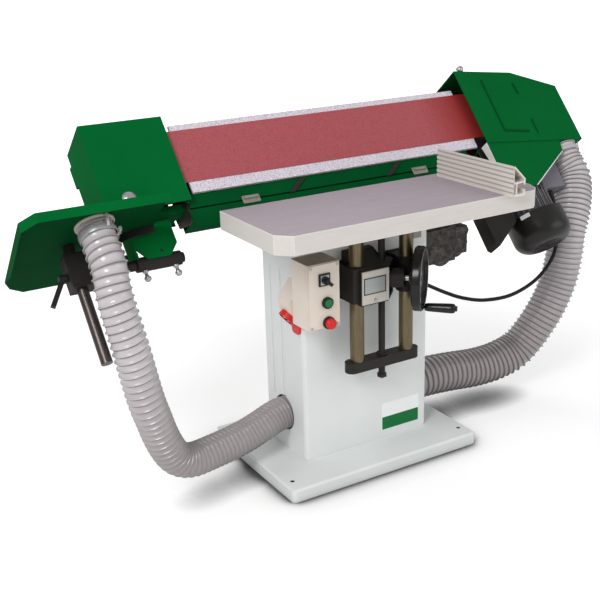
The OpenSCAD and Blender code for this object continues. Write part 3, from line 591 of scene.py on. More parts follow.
class Effects:
    """The shader groups that the finishes share."""

    def __init__(self) -> None:
        """Makes each group once."""
        self.grains = {grain: self._grain(grain) for grain in Grain}
        self.edges = self._edges()
        self.up = self._up()
        self.band = self._band()

    @staticmethod
    def _group(name: str, inputs: dict[str, float],
               outputs: dict[str, str]) -> tuple[NodeTree, Tree, dict, dict]:
        """Starts a group.

        Args:
            name: the group's name.
            inputs: float inputs and their defaults; Vector stands for the surface's place.
            outputs: outputs and their socket types.

        Returns:
            The group, its builder, its input sockets and its output sockets.
        """
        group = bpy.data.node_groups.new(name, "ShaderNodeTree")
        for key, value in inputs.items():
            kind = "NodeSocketVector" if key == "Vector" else "NodeSocketFloat"
            socket = group.interface.new_socket(key, in_out="INPUT", socket_type=kind)
            if kind == "NodeSocketFloat":
                socket.default_value = value
        for key, kind in outputs.items():
            group.interface.new_socket(key, in_out="OUTPUT", socket_type=kind)
        tree = Tree(group)
        entry, leave = group.nodes.new("NodeGroupInput"), group.nodes.new("NodeGroupOutput")
        return group, tree, {s.name: s for s in entry.outputs}, {s.name: s for s in leave.inputs}

    def _grain(self, grain: Grain) -> NodeTree:
        """Fine structure: a mask for the second colour, a value for roughness and a height.

        Args:
            grain: which structure.

        Returns:
            The group.
        """
        floats = {"Mask": "NodeSocketFloat", "Gloss": "NodeSocketFloat", "Height": "NodeSocketFloat"}
        group, tree, entry, leave = self._group("grain_" + grain.value, {"Vector": 0, "Size": 400}, floats)
        where, size = entry["Vector"], entry["Size"]

        def noise(share: float, detail: float = 2.0, rough: float = 0.5) -> Socket:
            """Noise at a share of the grain's scale."""
            scale = tree.math("MULTIPLY", size, share)
            return tree.add("TexNoise", {"Vector": where, "Scale": scale},
                            {"Detail": detail, "Roughness": rough}).outputs[0]

        def cells(share: float, feature: str = "F1") -> Socket:
            """Cell distances at a share of the grain's scale."""
            scale = tree.math("MULTIPLY", size, share)
            return tree.add("TexVoronoi", {"Vector": where, "Scale": scale}, feature=feature).outputs[0]

        broad = noise(0.012, 4.0, 0.6)
        if grain is Grain.PAINT:
            fine = noise(1.0, 1.0)
            mask, height = tree.ramp(broad, 0.35, 0.7), fine
            gloss = tree.math("ADD", tree.math("MULTIPLY", fine, 0.3), broad)
        elif grain is Grain.CAST:
            lumps, pits = noise(0.35, 5.0, 0.65), cells(0.8)
            mask, gloss = tree.ramp(noise(0.08, 6.0, 0.7), 0.4, 0.65), lumps
            height = tree.math("ADD", lumps, tree.math("MULTIPLY", tree.ramp(pits, 0.0, 0.35), 0.5))
        elif grain is Grain.BRUSHED:
            lines = noise(1.0, 3.0, 0.7)
            mask, height = tree.ramp(lines, 0.35, 0.68), lines
            gloss = tree.math("ADD", tree.math("MULTIPLY", lines, 0.5), broad)
        elif grain is Grain.PLASTIC:
            fine = noise(1.0, 3.0, 0.6)
            mask, gloss, height = tree.ramp(broad, 0.3, 0.75), broad, fine
        elif grain is Grain.GRIT:
            grains, clumps = cells(1.0), noise(0.12, 5.0, 0.7)
            dense = tree.ramp(clumps, 0.25, 0.7, 0.45, 1.0)
            mask = tree.math("MULTIPLY", tree.ramp(noise(0.9, 2.0, 0.7), 0.38, 0.66), dense)
            gloss = clumps
            height = tree.math("SUBTRACT", noise(0.9, 2.0, 0.7), tree.math("MULTIPLY", grains, 0.6))
        else:
            clouds, flecks = noise(0.5, 4.0, 0.75), noise(1.0, 2.0, 0.7)
            veil = tree.math("MULTIPLY", tree.ramp(clouds, 0.4, 0.62), 0.4)
            mask = tree.math("MAXIMUM", tree.ramp(flecks, 0.46, 0.6), veil)
            gloss, height = clouds, tree.math("MULTIPLY", clouds, 0.7)
        for key, socket in (("Mask", mask), ("Gloss", gloss), ("Height", height)):
            group.links.new(socket, leave[key])
        return group

    def _edges(self) -> NodeTree:
        """Rounded edges: a normal that turns over each edge, and a mask of rubbed edges that also paints
        highlights along edges.
        """
        group, tree, entry, leave = self._group("rounded_edges",
                                                {"Vector": 0, "Radius": 0.001, "Wear And Sheen": 0.0, "Sheen On All Edges": 0.0},
                                                {"Normal": "NodeSocketVector", "Worn And Sheen": "NodeSocketFloat"})
        soft = tree.add("Bevel", {"Radius": entry["Radius"]}, samples=4).outputs[0]
        wide = tree.add("Bevel", {"Radius": tree.math("MULTIPLY", entry["Radius"], 1.6)},
                        samples=4).outputs[0]
        flat = tree.add("NewGeometry").outputs["True Normal"]
        along = tree.add("VectorMath", {0: wide, 1: flat}, operation="DOT_PRODUCT").outputs["Value"]
        patchy = tree.add("TexNoise", {"Vector": entry["Vector"]}, {"Scale": 60.0, "Detail": 5.0}).outputs[0]
        patches = tree.math("MAXIMUM", tree.ramp(patchy, 0.42, 0.62), entry["Sheen On All Edges"])
        # Patchy rubbed edges; the last input spreads them over every edge, as a painted highlight.
        bare = tree.math("MULTIPLY", tree.ramp(along, 0.985, 0.85), patches)
        group.links.new(soft, leave["Normal"])
        group.links.new(tree.math("MULTIPLY", bare, entry["Wear And Sheen"]), leave["Worn And Sheen"])
        return group

    def _up(self) -> NodeTree:
        """Faces that look up, by how much."""
        group, tree, entry, leave = self._group("faces_up", {"Low": 0.9, "High": 0.97},
                                                {"Mask": "NodeSocketFloat"})
        up = tree.add("SeparateXYZ", {0: tree.add("NewGeometry").outputs["True Normal"]}).outputs[2]
        mask = tree.add("MapRange", {"Value": up, 1: entry["Low"], 2: entry["High"]}).outputs[0]
        group.links.new(mask, leave["Mask"])
        return group

    def _band(self) -> NodeTree:
        """A mask that fades in and out along one coordinate."""
        names = ("Value", "Start", "Full", "End", "Gone")
        group, tree, entry, leave = self._group("band_along", dict.fromkeys(names, 0.0),
                                                {"Mask": "NodeSocketFloat"})
        rise = tree.add("MapRange", {"Value": entry["Value"], 1: entry["Start"], 2: entry["Full"]}).outputs[0]
        fall = tree.add("MapRange", {"Value": entry["Value"], 1: entry["Gone"], 2: entry["End"]}).outputs[0]
        group.links.new(tree.math("MULTIPLY", rise, fall), leave["Mask"])
        return group


class Paintshop:
    """Makes each finish's material once and puts it on pieces."""

    GLOSS_RANGE = (0.2, 0.9)
    BUMP_DEPTH = 0.001
    TOP_SECOND = 92

    def __init__(self) -> None:
        """Makes the shared groups."""
        self.effects = Effects()
        self.made: dict[str, bpy.types.Material] = {}

    def material(self, finish: Finish) -> bpy.types.Material:
        """The material of a finish.

        Args:
            finish: the finish.

        Returns:
            Its material, made at the first call.
        """
        if finish.name in self.made:
            return self.made[finish.name]
        material = bpy.data.materials.new(finish.name)
        tree = fresh_tree(material)
        where = tree.add("TexCoord").outputs["Object"]
        spread = tree.add("Mapping", {0: where}, {3: finish.stretch}).outputs[0]
        grain = tree.group(self.effects.grains[finish.grain], {"Vector": spread}, {"Size": finish.size})
        edges = tree.group(self.effects.edges, {"Vector": where},
                           {"Radius": finish.edge, "Wear And Sheen": finish.wear_and_sheen, "Sheen On All Edges": finish.sheen_on_all_edges})
        colour = self._colour(tree, finish, where, grain, edges)
        rough = tree.ramp(grain.outputs["Gloss"], *self.GLOSS_RANGE, *finish.roughness)
        bump = tree.add("Bump", {"Height": grain.outputs["Height"], "Normal": edges.outputs["Normal"]},
                        {"Strength": min(finish.bump, 1.0), "Distance": self.BUMP_DEPTH})
        shader = tree.add("BsdfPrincipled", {"Base Color": colour, "Roughness": rough,
                                             "Normal": bump.outputs[0]},
                          {"Metallic": finish.metallic, "Specular IOR Level": finish.specular})
        tree.add("OutputMaterial", {"Surface": shader.outputs[0]})
        self.made[finish.name] = material
        return material

    def _colour(self, tree: Tree, finish: Finish, where: Socket, grain: bpy.types.Node,
                edges: bpy.types.Node) -> Socket:
        """Lays the colours of a finish over each other.

        Args:
            tree: the material's tree.
            finish: the finish.
            where: the surface's place.
            grain: the grain group's node.
            edges: the edge group's node.

        Returns:
            The colour socket.
        """
        share = tree.math("MULTIPLY", grain.outputs["Mask"], finish.mix)
        colour = tree.mix(share, display(finish.colour), display(finish.second))
        # Faces that look up take another colour: the table's ground top, and painted light and shade on the
        # box and the contour table.
        if finish.top:
            up = tree.group(self.effects.up, {}, {"Low": finish.top_from[0], "High": finish.top_from[1]})
            top = tree.mix(share, display(finish.top),
                           display(tuple(c * self.TOP_SECOND // 100 for c in finish.top)))
            colour = tree.mix(up.outputs["Mask"], colour, top)
        # Bands along an axis paint shade: on the belt near the hood, in the fence's grooves and on the hoses'
        # low runs.
        if finish.band:
            band = finish.band
            along = tree.add("SeparateXYZ", {0: where}).outputs[band.axis]
            mask = tree.group(self.effects.band, {"Value": along}, {"Start": band.start, "Full": band.full,
                                                                    "End": band.end, "Gone": band.gone})
            colour = tree.mix(mask.outputs["Mask"], colour, display(band.colour))
        # Painted shade just below each hose rib and in the bore, read from the mesh.
        if finish.painted_rib_shadow:
            shade = tree.add("Attribute", attribute_name=RIB_SHADE).outputs["Fac"]
            colour = tree.mix(tree.ramp(shade, 0.05, 1.0, 0.0, 0.9), colour, display(finish.painted_rib_shadow))
        # Rubbed edges, and painted highlights along the edges of the table and the motor.
        if finish.wear_and_sheen > 0:
            colour = tree.mix(edges.outputs["Worn And Sheen"], colour, display(finish.worn_and_sheen))
        return colour

    def coat(self, finish: Finish, *pieces: Mesh | str) -> None:
        """Puts a finish on pieces.

        Args:
            finish: the finish.
            *pieces: objects, or names of CAD nodes.
        """
        for piece in pieces:
            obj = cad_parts[piece] if isinstance(piece, str) else piece
            obj.data.materials.clear()
            obj.data.materials.append(self.material(finish))


# Mesh attribute with the painted shade just below each hose rib and in the hose's bore.
RIB_SHADE = "rib_shade"

GREEN = Finish("green_paint", (0, 97, 43), (0, 90, 40), Grain.PAINT, 420, 0.8, (0.68, 0.82), 0.08,
               specular=0.04, wear_and_sheen=0.2, worn_and_sheen=(30, 116, 64))
# Darker green: on the head frame and idler arm it stands partly for the shade on their recessed faces; on the
# hood's ridges it is painted shade.
DEEP_GREEN_AND_SHADE = Finish("deep_green_and_painted_shade", (0, 76, 34), (0, 64, 29), Grain.PAINT, 420, 0.8, (0.68, 0.82), 0.1,
                    specular=0.04, wear_and_sheen=0.2, worn_and_sheen=(30, 100, 56))
# Painted shade: a darker green for the contour table's underside, with the lit green on faces that look up.
PAINTED_SHADE_GREEN = Finish("painted_shade_green_paint", (0, 66, 30), (0, 58, 26), Grain.PAINT, 420, 0.8, (0.68, 0.82),
                      0.08, specular=0.04, wear_and_sheen=0.2, worn_and_sheen=(30, 100, 56), top=(0, 97, 43),
                      top_from=(-0.2, 0.3))
GREY_PAINT = Finish("light_grey_paint", (225, 228, 227), (217, 221, 220), Grain.PAINT, 380, 0.8, (0.35, 0.52),
                    0.1, specular=0.4, wear_and_sheen=0.12, worn_and_sheen=(190, 192, 190), edge=0.0025)
# Ground table: the top is its own grey; its light edges, over every edge, are a painted highlight.
TABLE = Finish("ground_table", (210, 205, 200), (199, 194, 189), Grain.BRUSHED, 260, 0.6, (0.38, 0.55), 0.05,
               specular=0.3, wear_and_sheen=0.9, worn_and_sheen=(250, 250, 248), sheen_on_all_edges=1.0, edge=0.0024, stretch=(0.05, 1.0, 1.0),
               top=(164, 153, 161))
# The band paints shade in the fence's grooves, as a darker stripe at their depth.
FENCE = Finish("drawn_aluminium", (224, 218, 211), (206, 200, 194), Grain.BRUSHED, 500, 0.5, (0.3, 0.45),
               0.04, metallic=0.15, edge=0.0006, stretch=(1.0, 0.03, 1.0),
               band=Band(0, 0.2688, 0.2693, 0.2708, 0.2712, (186, 180, 174)))
# The band paints the hood's shade on the belt, as deeper red towards the hood.
BELT = Finish("abrasive_cloth", (172, 91, 96), (139, 60, 65), Grain.GRIT, 420, 0.8, (0.85, 0.97), 0.45,
              specular=0.1, edge=0.0003, band=Band(0, 0.36, 0.52, 9.0, 9.1, (142, 42, 38)))
PLATEN = Finish("speckled_platen", (228, 221, 230), (150, 138, 152), Grain.SPECKLE, 420, 0.85, (0.4, 0.6),
                0.2, specular=0.4)
BLACK_PAINT = Finish("black_paint", (40, 36, 33), (30, 27, 25), Grain.PAINT, 360, 0.8, (0.38, 0.6), 0.15,
                     specular=0.25, wear_and_sheen=0.3, worn_and_sheen=(96, 92, 86))
GLOSS_BLACK = Finish("gloss_black", (15, 14, 13), (11, 10, 10), Grain.PAINT, 360, 0.8, (0.16, 0.28), 0.06,
                     specular=0.4, edge=0.003)
CAST = Finish("rough_casting", (78, 74, 69), (22, 21, 19), Grain.CAST, 700, 0.95, (0.3, 0.55), 0.8,
              metallic=0.5, wear_and_sheen=0.6, worn_and_sheen=(150, 146, 140), edge=0.003)
BRIGHT = Finish("bright_steel", (200, 199, 200), (160, 159, 162), Grain.BRUSHED, 900, 0.6, (0.16, 0.34), 0.05,
                metallic=0.95, stretch=(1.0, 1.0, 0.06))
POST = Finish("dark_post_steel", (92, 85, 82), (64, 58, 56), Grain.BRUSHED, 900, 0.6, (0.2, 0.36), 0.05,
              metallic=0.85, stretch=(1.0, 1.0, 0.06))
COLUMN = Finish("oiled_column", (126, 114, 88), (88, 79, 60), Grain.BRUSHED, 700, 0.7, (0.2, 0.38), 0.05,
                metallic=0.85, stretch=(1.0, 1.0, 0.04))
SCREW = Finish("zinc_screw", (190, 190, 188), (150, 150, 150), Grain.CAST, 1500, 0.5, (0.25, 0.45), 0.15,
               metallic=0.9)
BRASS = Finish("gear_bronze", (176, 146, 82), (130, 104, 56), Grain.CAST, 1200, 0.7, (0.3, 0.5), 0.2,
               metallic=0.9)
# The darker colour on faces that look up is painted shade on the box's top.
BEIGE = Finish("box_plastic", (226, 214, 202), (217, 205, 193), Grain.PLASTIC, 900, 0.8, (0.34, 0.48), 0.1,
               specular=0.35, edge=0.002, top=(150, 140, 128))
BLACK_PLASTIC = Finish("black_plastic", (34, 32, 32), (24, 23, 23), Grain.PLASTIC, 1100, 0.8, (0.35, 0.55),
                       0.2, specular=0.3, wear_and_sheen=0.15, worn_and_sheen=(80, 78, 76))
RED = Finish("red_plastic", (214, 34, 30), (192, 24, 23), Grain.PLASTIC, 900, 0.8, (0.25, 0.42), 0.06,
             specular=0.4)
PUSH_GREEN = Finish("green_plastic", (12, 118, 58), (8, 98, 47), Grain.PLASTIC, 900, 0.8, (0.25, 0.42), 0.06,
                    specular=0.4)
# Motor casting: the light edges, over every edge, paint highlights on the fins.
MOTOR = Finish("motor_casting", (84, 81, 86), (62, 60, 65), Grain.CAST, 1000, 0.8, (0.45, 0.65), 0.35,
               specular=0.25, wear_and_sheen=0.9, worn_and_sheen=(170, 168, 174), sheen_on_all_edges=1.0, edge=0.0016)
FAN_BLACK = Finish("fan_cover_plastic", (29, 27, 25), (22, 21, 19), Grain.PLASTIC, 700, 0.8, (0.26, 0.4), 0.1,
                   specular=0.4)
BOX_GREY = Finish("terminal_box_paint", (122, 119, 128), (102, 100, 108), Grain.PAINT, 420, 0.8, (0.35, 0.5),
                  0.12, specular=0.3, wear_and_sheen=0.4, worn_and_sheen=(150, 148, 154))
# Hose: the band paints shade on the low runs, darker towards the floor; the second dark colour paints the
# shade under each rib.
HOSE = Finish("hose_skin", (200, 194, 197), (184, 177, 180), Grain.PLASTIC, 500, 0.8, (0.14, 0.26), 0.05,
              specular=0.6, edge=0.0004, band=Band(2, -1.0, -0.9, 0.16, 0.5, (158, 150, 151)),
              painted_rib_shadow=(86, 78, 79))
CABLE = Finish("cable_skin", (26, 26, 27), (18, 18, 19), Grain.PLASTIC, 900, 0.7, (0.4, 0.55), 0.15,
               specular=0.25, edge=0.0003)
CREAM = Finish("port_plastic", (216, 208, 196), (202, 193, 180), Grain.PLASTIC, 800, 0.8, (0.35, 0.5), 0.1)
ZINC = Finish("zinc_sheet", (176, 178, 180), (150, 152, 156), Grain.SPECKLE, 90, 0.6, (0.3, 0.5), 0.06,
              metallic=0.8)
PLATE = Finish("housing_plate_paint", (206, 201, 192), (196, 190, 181), Grain.PAINT, 420, 0.7, (0.35, 0.5),
               0.06, specular=0.3)
SILVER = Finish("silver_foil", (178, 184, 183), (162, 168, 167), Grain.BRUSHED, 800, 0.6, (0.26, 0.4), 0.03,
                metallic=0.3, edge=0.0002, stretch=(0.05, 1.0, 1.0))
LABEL_WHITE = Finish("label_white", (240, 242, 242), (233, 236, 236), Grain.PLASTIC, 700, 0.6, (0.3, 0.4),
                     0.03, edge=0.0002)
LABEL_GREEN = Finish("label_green", (16, 112, 56), (12, 104, 51), Grain.PLASTIC, 700, 0.6, (0.3, 0.4), 0.03,
                     specular=0.2, edge=0.0002)
BAND_STEEL = Finish("clamp_band_steel", (206, 204, 206), (168, 166, 170), Grain.BRUSHED, 700, 0.6,
                    (0.18, 0.32), 0.04, metallic=0.45, specular=0.6, edge=0.0004, stretch=(1.0, 1.0, 0.08))
CLIP = Finish("spring_clip", (150, 146, 138), (122, 118, 110), Grain.BRUSHED, 900, 0.6, (0.3, 0.45), 0.05,
              metallic=0.3, edge=0.0006)
TAG = Finish("bare_tag", (150, 145, 138), (124, 119, 112), Grain.BRUSHED, 700, 0.6, (0.3, 0.45), 0.04,
             metallic=0.4, edge=0.0003, stretch=(0.05, 1.0, 1.0))
EDGE_TRIM = Finish("bare_sheet_edge", (226, 224, 220), (208, 206, 202), Grain.BRUSHED, 900, 0.6, (0.3, 0.45),
                   0.04, edge=0.0002)


# Studio


@dataclass(frozen=True)
class Lamp:
    """A square soft lamp at a place, looking at a target; power in watts, side in metres."""

    name: str
    place: Triple
    target: Triple
    power: float
    size: float


@dataclass
class Studio:
    """Camera, floor and light."""

    lamps: tuple[Lamp, ...] = (Lamp("key", (-3.0, -1.9, 3.0), (0, 0, 0.6), 84.0, 1.4),
                               Lamp("fill", (2.2, -2.8, 1.8), (0.1, 0, 0.5), 24.0, 2.4),
                               Lamp("rear", (0.8, 2.6, 2.6), (0, 0, 0.7), 20.0, 2.2))
    eye: Triple = (-1.4375, -2.2450, 1.3858)
    yaw: float = 30.13
    pitch: float = 19.62
    roll: float = -1.8
    lens: float = 61.374
    sensor: float = 36.0
    sight: float = 60.0
    floor_size: float = 80.0
    floor_glow: Pair = (0.42, 1.0)
    floor_grey: Pair = (0.1, 0.88)
    painted_shadow_reach: float = 0.1
    painted_contact_shadow: Pair = (0.58, 0.95)
    floor_seen: float = 0.76
    glow_reach: Pair = (1.0, 3.2)
    sky: float = 0.62
    sky_in_gloss: float = 0.5

    def build(self) -> None:
        """Makes all of it."""
        self._camera()
        self._floor()
        self._sky()
        for lamp in self.lamps:
            self._lamp(lamp)
        bpy.context.scene.view_settings.view_transform = "Standard"

    def _camera(self) -> None:
        """Puts the camera where the photographer stood."""
        yaw, pitch, roll = (math.radians(a) for a in (self.yaw, self.pitch, self.roll))
        ahead = Vector((math.sin(yaw) * math.cos(pitch), math.cos(yaw) * math.cos(pitch), -math.sin(pitch)))
        right = Vector((math.cos(yaw), -math.sin(yaw), 0))
        up = right.cross(ahead)
        x = math.cos(roll) * right + math.sin(roll) * up
        y = -math.sin(roll) * right + math.cos(roll) * up
        data = bpy.data.cameras.new("camera")
        data.sensor_width = self.sensor
        data.lens = self.lens
        data.clip_end = self.sight
        camera = bpy.data.objects.new("camera", data)
        camera.matrix_world = Matrix.Translation(self.eye) @ Matrix((x, y, -ahead)).transposed().to_4x4()
        bpy.context.collection.objects.link(camera)
        bpy.context.scene.camera = camera

    def _floor(self) -> None:
        """A pale floor that takes the lamps' shadows, with a painted contact shadow near the machine, and
        runs out into white.
        """
        half = self.floor_size / 2
        corners = [(-half, -half, 0), (half, -half, 0), (half, half, 0), (-half, half, 0)]
        floor = add_mesh("floor", corners, [(0, 1, 2, 3)], 0)
        material = bpy.data.materials.new("studio_floor")
        tree = fresh_tree(material)
        # Painted contact shadow: an occlusion mask darkens the floor's colour and glow near the machine.
        near = tree.add("AmbientOcclusion", values={"Distance": self.painted_shadow_reach}, samples=12).outputs["AO"]
        shade = tree.ramp(near, *self.painted_contact_shadow)
        ray = tree.add("LightPath").outputs["Is Camera Ray"]
        grey = tree.math("MULTIPLY", tree.ramp(shade, 0.0, 1.0, *self.floor_grey),
                         tree.ramp(ray, 0.0, 1.0, 1.0, self.floor_seen))
        lit = tree.add("BsdfDiffuse", {"Color": grey})
        far = tree.add("VectorMath", {0: tree.add("TexCoord").outputs["Object"]},
                       operation="LENGTH").outputs["Value"]
        glow = tree.math("MULTIPLY", tree.ramp(far, *self.glow_reach, *self.floor_glow), shade)
        shine = tree.add("Emission", {"Strength": tree.math("MULTIPLY", ray, glow)})
        both = tree.add("AddShader", {0: lit.outputs[0], 1: shine.outputs[0]})
        tree.add("OutputMaterial", {"Surface": both.outputs[0]})
        floor.data.materials.append(material)

    def _sky(self) -> None:
        """White surroundings, dimmer in reflections than for the camera."""
        world = bpy.data.worlds.new("studio")
        bpy.context.scene.world = world
        tree = fresh_tree(world)
        path = tree.add("LightPath")
        seen = tree.ramp(path.outputs["Is Camera Ray"], 0.0, 1.0, self.sky, 1.0)
        dimmed = tree.math("MULTIPLY", path.outputs["Is Glossy Ray"], self.sky_in_gloss - self.sky)
        sky = tree.add("Background", {"Strength": tree.math("ADD", seen, dimmed)}, {"Color": (1, 1, 1, 1)})
        tree.add("OutputWorld", {"Surface": sky.outputs[0]})

    @staticmethod
    def _lamp(lamp: Lamp) -> None:
        """Hangs a lamp."""
        data = bpy.data.lights.new(lamp.name, "AREA")
        data.energy = lamp.power
        data.size = lamp.size
        obj = bpy.data.objects.new(lamp.name, data)
        obj.location = lamp.place
        obj.rotation_euler = (Vector(lamp.target) - Vector(lamp.place)).to_track_quat("-Z", "Y").to_euler()
        bpy.context.collection.objects.link(obj)


# Hoses and cable


@dataclass
class RibbedHose:
    """A spiral-ribbed dust hose."""

    points: list[Vector]
    ribs: int
    crowd: float
    across: float
    rib: float
    sides: int = 40
    steps: int = 6
    wall: float = 0.0012
    crest: float = 0.17
    bore_step: float = 0.016
    weld: float = 1e-5
    sharp: float = 70.0
    phases: tuple[float, ...] = (0.0, 0.16, 0.3, 0.39, 0.44, 0.48, 0.52, 0.56, 0.61, 0.7, 0.84)
    shade_at: float = 0.63
    shade_wide: float = 0.1
    route: Route = field(init=False)

    def __post_init__(self) -> None:
        """Works out the route."""
        self.route = Route(self.points, self.steps)

    def turn_at(self, s: float) -> float:
        """Number of ribs before a place along the hose; a crowd above 0 brings them closer to the far end."""
        share = s / self.route.length
        k = self.crowd
        return self.ribs * ((1 + k) - math.sqrt((1 + k) ** 2 - 4 * k * share)) / (2 * k)

    def place_of(self, turn: float) -> float:
        """Where along the hose that many ribs are passed."""
        share = turn / self.ribs
        return self.route.length * share * (1 + self.crowd - self.crowd * share)

    def skin(self, s: float, turn: float) -> Pair:
        """How the skin lies at a place.

        Args:
            s: place along the hose.
            turn: share of a turn around it.

        Returns:
            Its depth under the crests and its painted shade just below each crest, both from 0 to 1.
        """
        phase = (self.turn_at(s) - turn) % 1.0
        away = abs(2 * phase - 1)
        depth = 0.5 * (1 - math.exp(-(away / self.crest) ** 2)) + 0.5 * (1 - (1 - away) ** 2)
        return depth, math.exp(-((phase - self.shade_at) / self.shade_wide) ** 2)

    def piece(self, name: str, low: float, high: float) -> tuple[Mesh, list[Vector]]:
        """Makes a stretch of the hose with its bore; the rows of its skin follow the spiral.

        Args:
            name: the object's name.
            low: where it starts along the hose, in metres.
            high: where it ends.

        Returns:
            The object and points along its centre.
        """
        n, half, bore = self.sides, self.across / 2, self.across / 2 - self.rib - self.wall
        first, last = math.floor(self.turn_at(low)) - 1, math.ceil(self.turn_at(high))
        starts = [-1e3, *(rib + phase for rib in range(first, last + 1) for phase in self.phases), 1e3]
        mesh = bmesh.new()
        shades = mesh.verts.layers.float.new(RIB_SHADE)

        def point(s: float, turn: float, radius: float, shade: float) -> bmesh.types.BMVert:
            """One point of the skin or the bore."""
            centre, a, b = self.route.square(s)
            angle = 2 * math.pi * turn
            vert = mesh.verts.new(centre + radius * (math.cos(angle) * a + math.sin(angle) * b))
            vert[shades] = shade
            return vert

        def row(start: float) -> list[bmesh.types.BMVert]:
            """One turn of the skin from a number of ribs on."""
            verts = []
            for j in range(n + 1):
                s = min(max(self.place_of(min(max(start + j / n, 0.0), self.ribs)), low), high)
                depth, shade = self.skin(s, j / n)
                verts.append(point(s, j / n, half - self.rib * depth, shade))
            return verts

        skin = [row(start) for start in starts]
        steps = max(3, round((high - low) / self.bore_step))
        places = [low + (high - low) * i / steps for i in range(steps + 1)]
        # The bore is painted in full shade.
        hole = [[point(s, j / n, bore, 1.0) for j in range(n + 1)] for s in places]
        for rows, flip in ((skin, False), (hole, True), ([hole[0], skin[0]], False),
                           ([skin[-1], hole[-1]], False)):
            for lower, upper in zip(rows, rows[1:]):
                for j in range(n):
                    quad = (lower[j], lower[j + 1], upper[j + 1], upper[j])
                    mesh.faces.new(quad[::-1] if flip else quad)
        bmesh.ops.remove_doubles(mesh, verts=mesh.verts[:], dist=self.weld)
        obj = add_mesh(name, [], [], 0)
        mesh.to_mesh(obj.data)
        mesh.free()
        obj.data.shade_smooth()
        obj.data.set_sharp_from_angle(angle=math.radians(self.sharp))
        return obj, [self.route.at(s) for s in places]


def hose_clamp(name: str, route: Route, s: float, radius: float, face: Vector, tail: float = 0.03,
               wide: float = 0.012) -> Mesh:
    """A worm-drive band around a hose, with its screw housing and the loose tail of the band.

    Args:
        name: the object's name.
        route: the hose's route.
        s: place of the band along the route.
        radius: the hose's outer radius.
        face: the side where the screw housing sits.
        tail: length of the loose tail, which runs back along the hose.
        wide: width of the band.

    Returns:
        The object.
    """
    sides, thick, turns = 48, 0.0009, 14
    rows = [(s - wide / 2, 0.0), (s - wide / 2, thick), (s - wide / 4, thick * 1.3),
            (s + wide / 4, thick * 1.3), (s + wide / 2, thick), (s + wide / 2, 0.0), (s - wide / 2, 0.0)]
    points = [p for place, lift in rows for p in route.ring(place, lambda t, lift=lift: radius + lift, sides)]
    faces = grid_faces(len(rows), sides)
    along, centre = route.way(s), route.at(s)
    out = (face - along * face.dot(along)).normalized()
    side = along.cross(out)
    start = len(points)
    profile = [(-0.014, 0.002), (-0.014, 0.0052), (-0.011, 0.0058), (0.009, 0.0058), (0.009, 0.0044),
               (0.015, 0.0044), (0.015, 0.001)]
    for x, r in profile:
        for j in range(turns):
            angle = 2 * math.pi * j / turns
            around = out * math.cos(angle) + along * math.sin(angle)
            points.append(centre + side * x + around * r + out * (radius + 0.0056))
    faces += grid_faces(len(profile), turns, start, True)
    faces += [tuple(range(start, start + turns)), tuple(range(len(points) - turns, len(points)))[::-1]]
    tail_out = (side * 0.9 + out * 0.45).normalized()
    loose = ((0.001, 0.0), (0.005, 0.25), (0.0085, 0.6), (0.009, 0.85), (0.006, 1.0))
    path = [centre + tail_out * (radius + lift) - along * (tail * share) for lift, share in loose]
    start = len(points)
    more, strips = strap(path, along.cross(tail_out) * wide * 0.3, tail_out * 0.0006)
    points += more
    faces += [tuple(start + i for i in strip) for strip in strips]
    return add_mesh(name, points, faces, 40.0)


@dataclass
class Assembly:
    """A sub-assembly: its CAD nodes with their finishes, and the small pieces that it adds."""

    nodes: ClassVar[Nodes] = {}
    paint: Paintshop

    def build(self) -> None:
        """Makes the added pieces."""

    def dress(self) -> None:
        """Puts the finishes on the CAD nodes."""
        for finish, nodes in self.nodes.items():
            self.paint.coat(finish, *nodes)
            LOG.info("%s: %s", finish.name, ", ".join(nodes))

    def fit(self, piece: Mesh, finish: Finish, slot: Slot, body: str) -> Mesh:
        """Paints an added piece and lets it ride.

        Args:
            piece: the piece.
            finish: its finish.
            slot: its material slot; not used.
            body: the body that carries it.

        Returns:
            The piece.
        """
        self.paint.coat(finish, piece)
        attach(piece, body)
        return piece


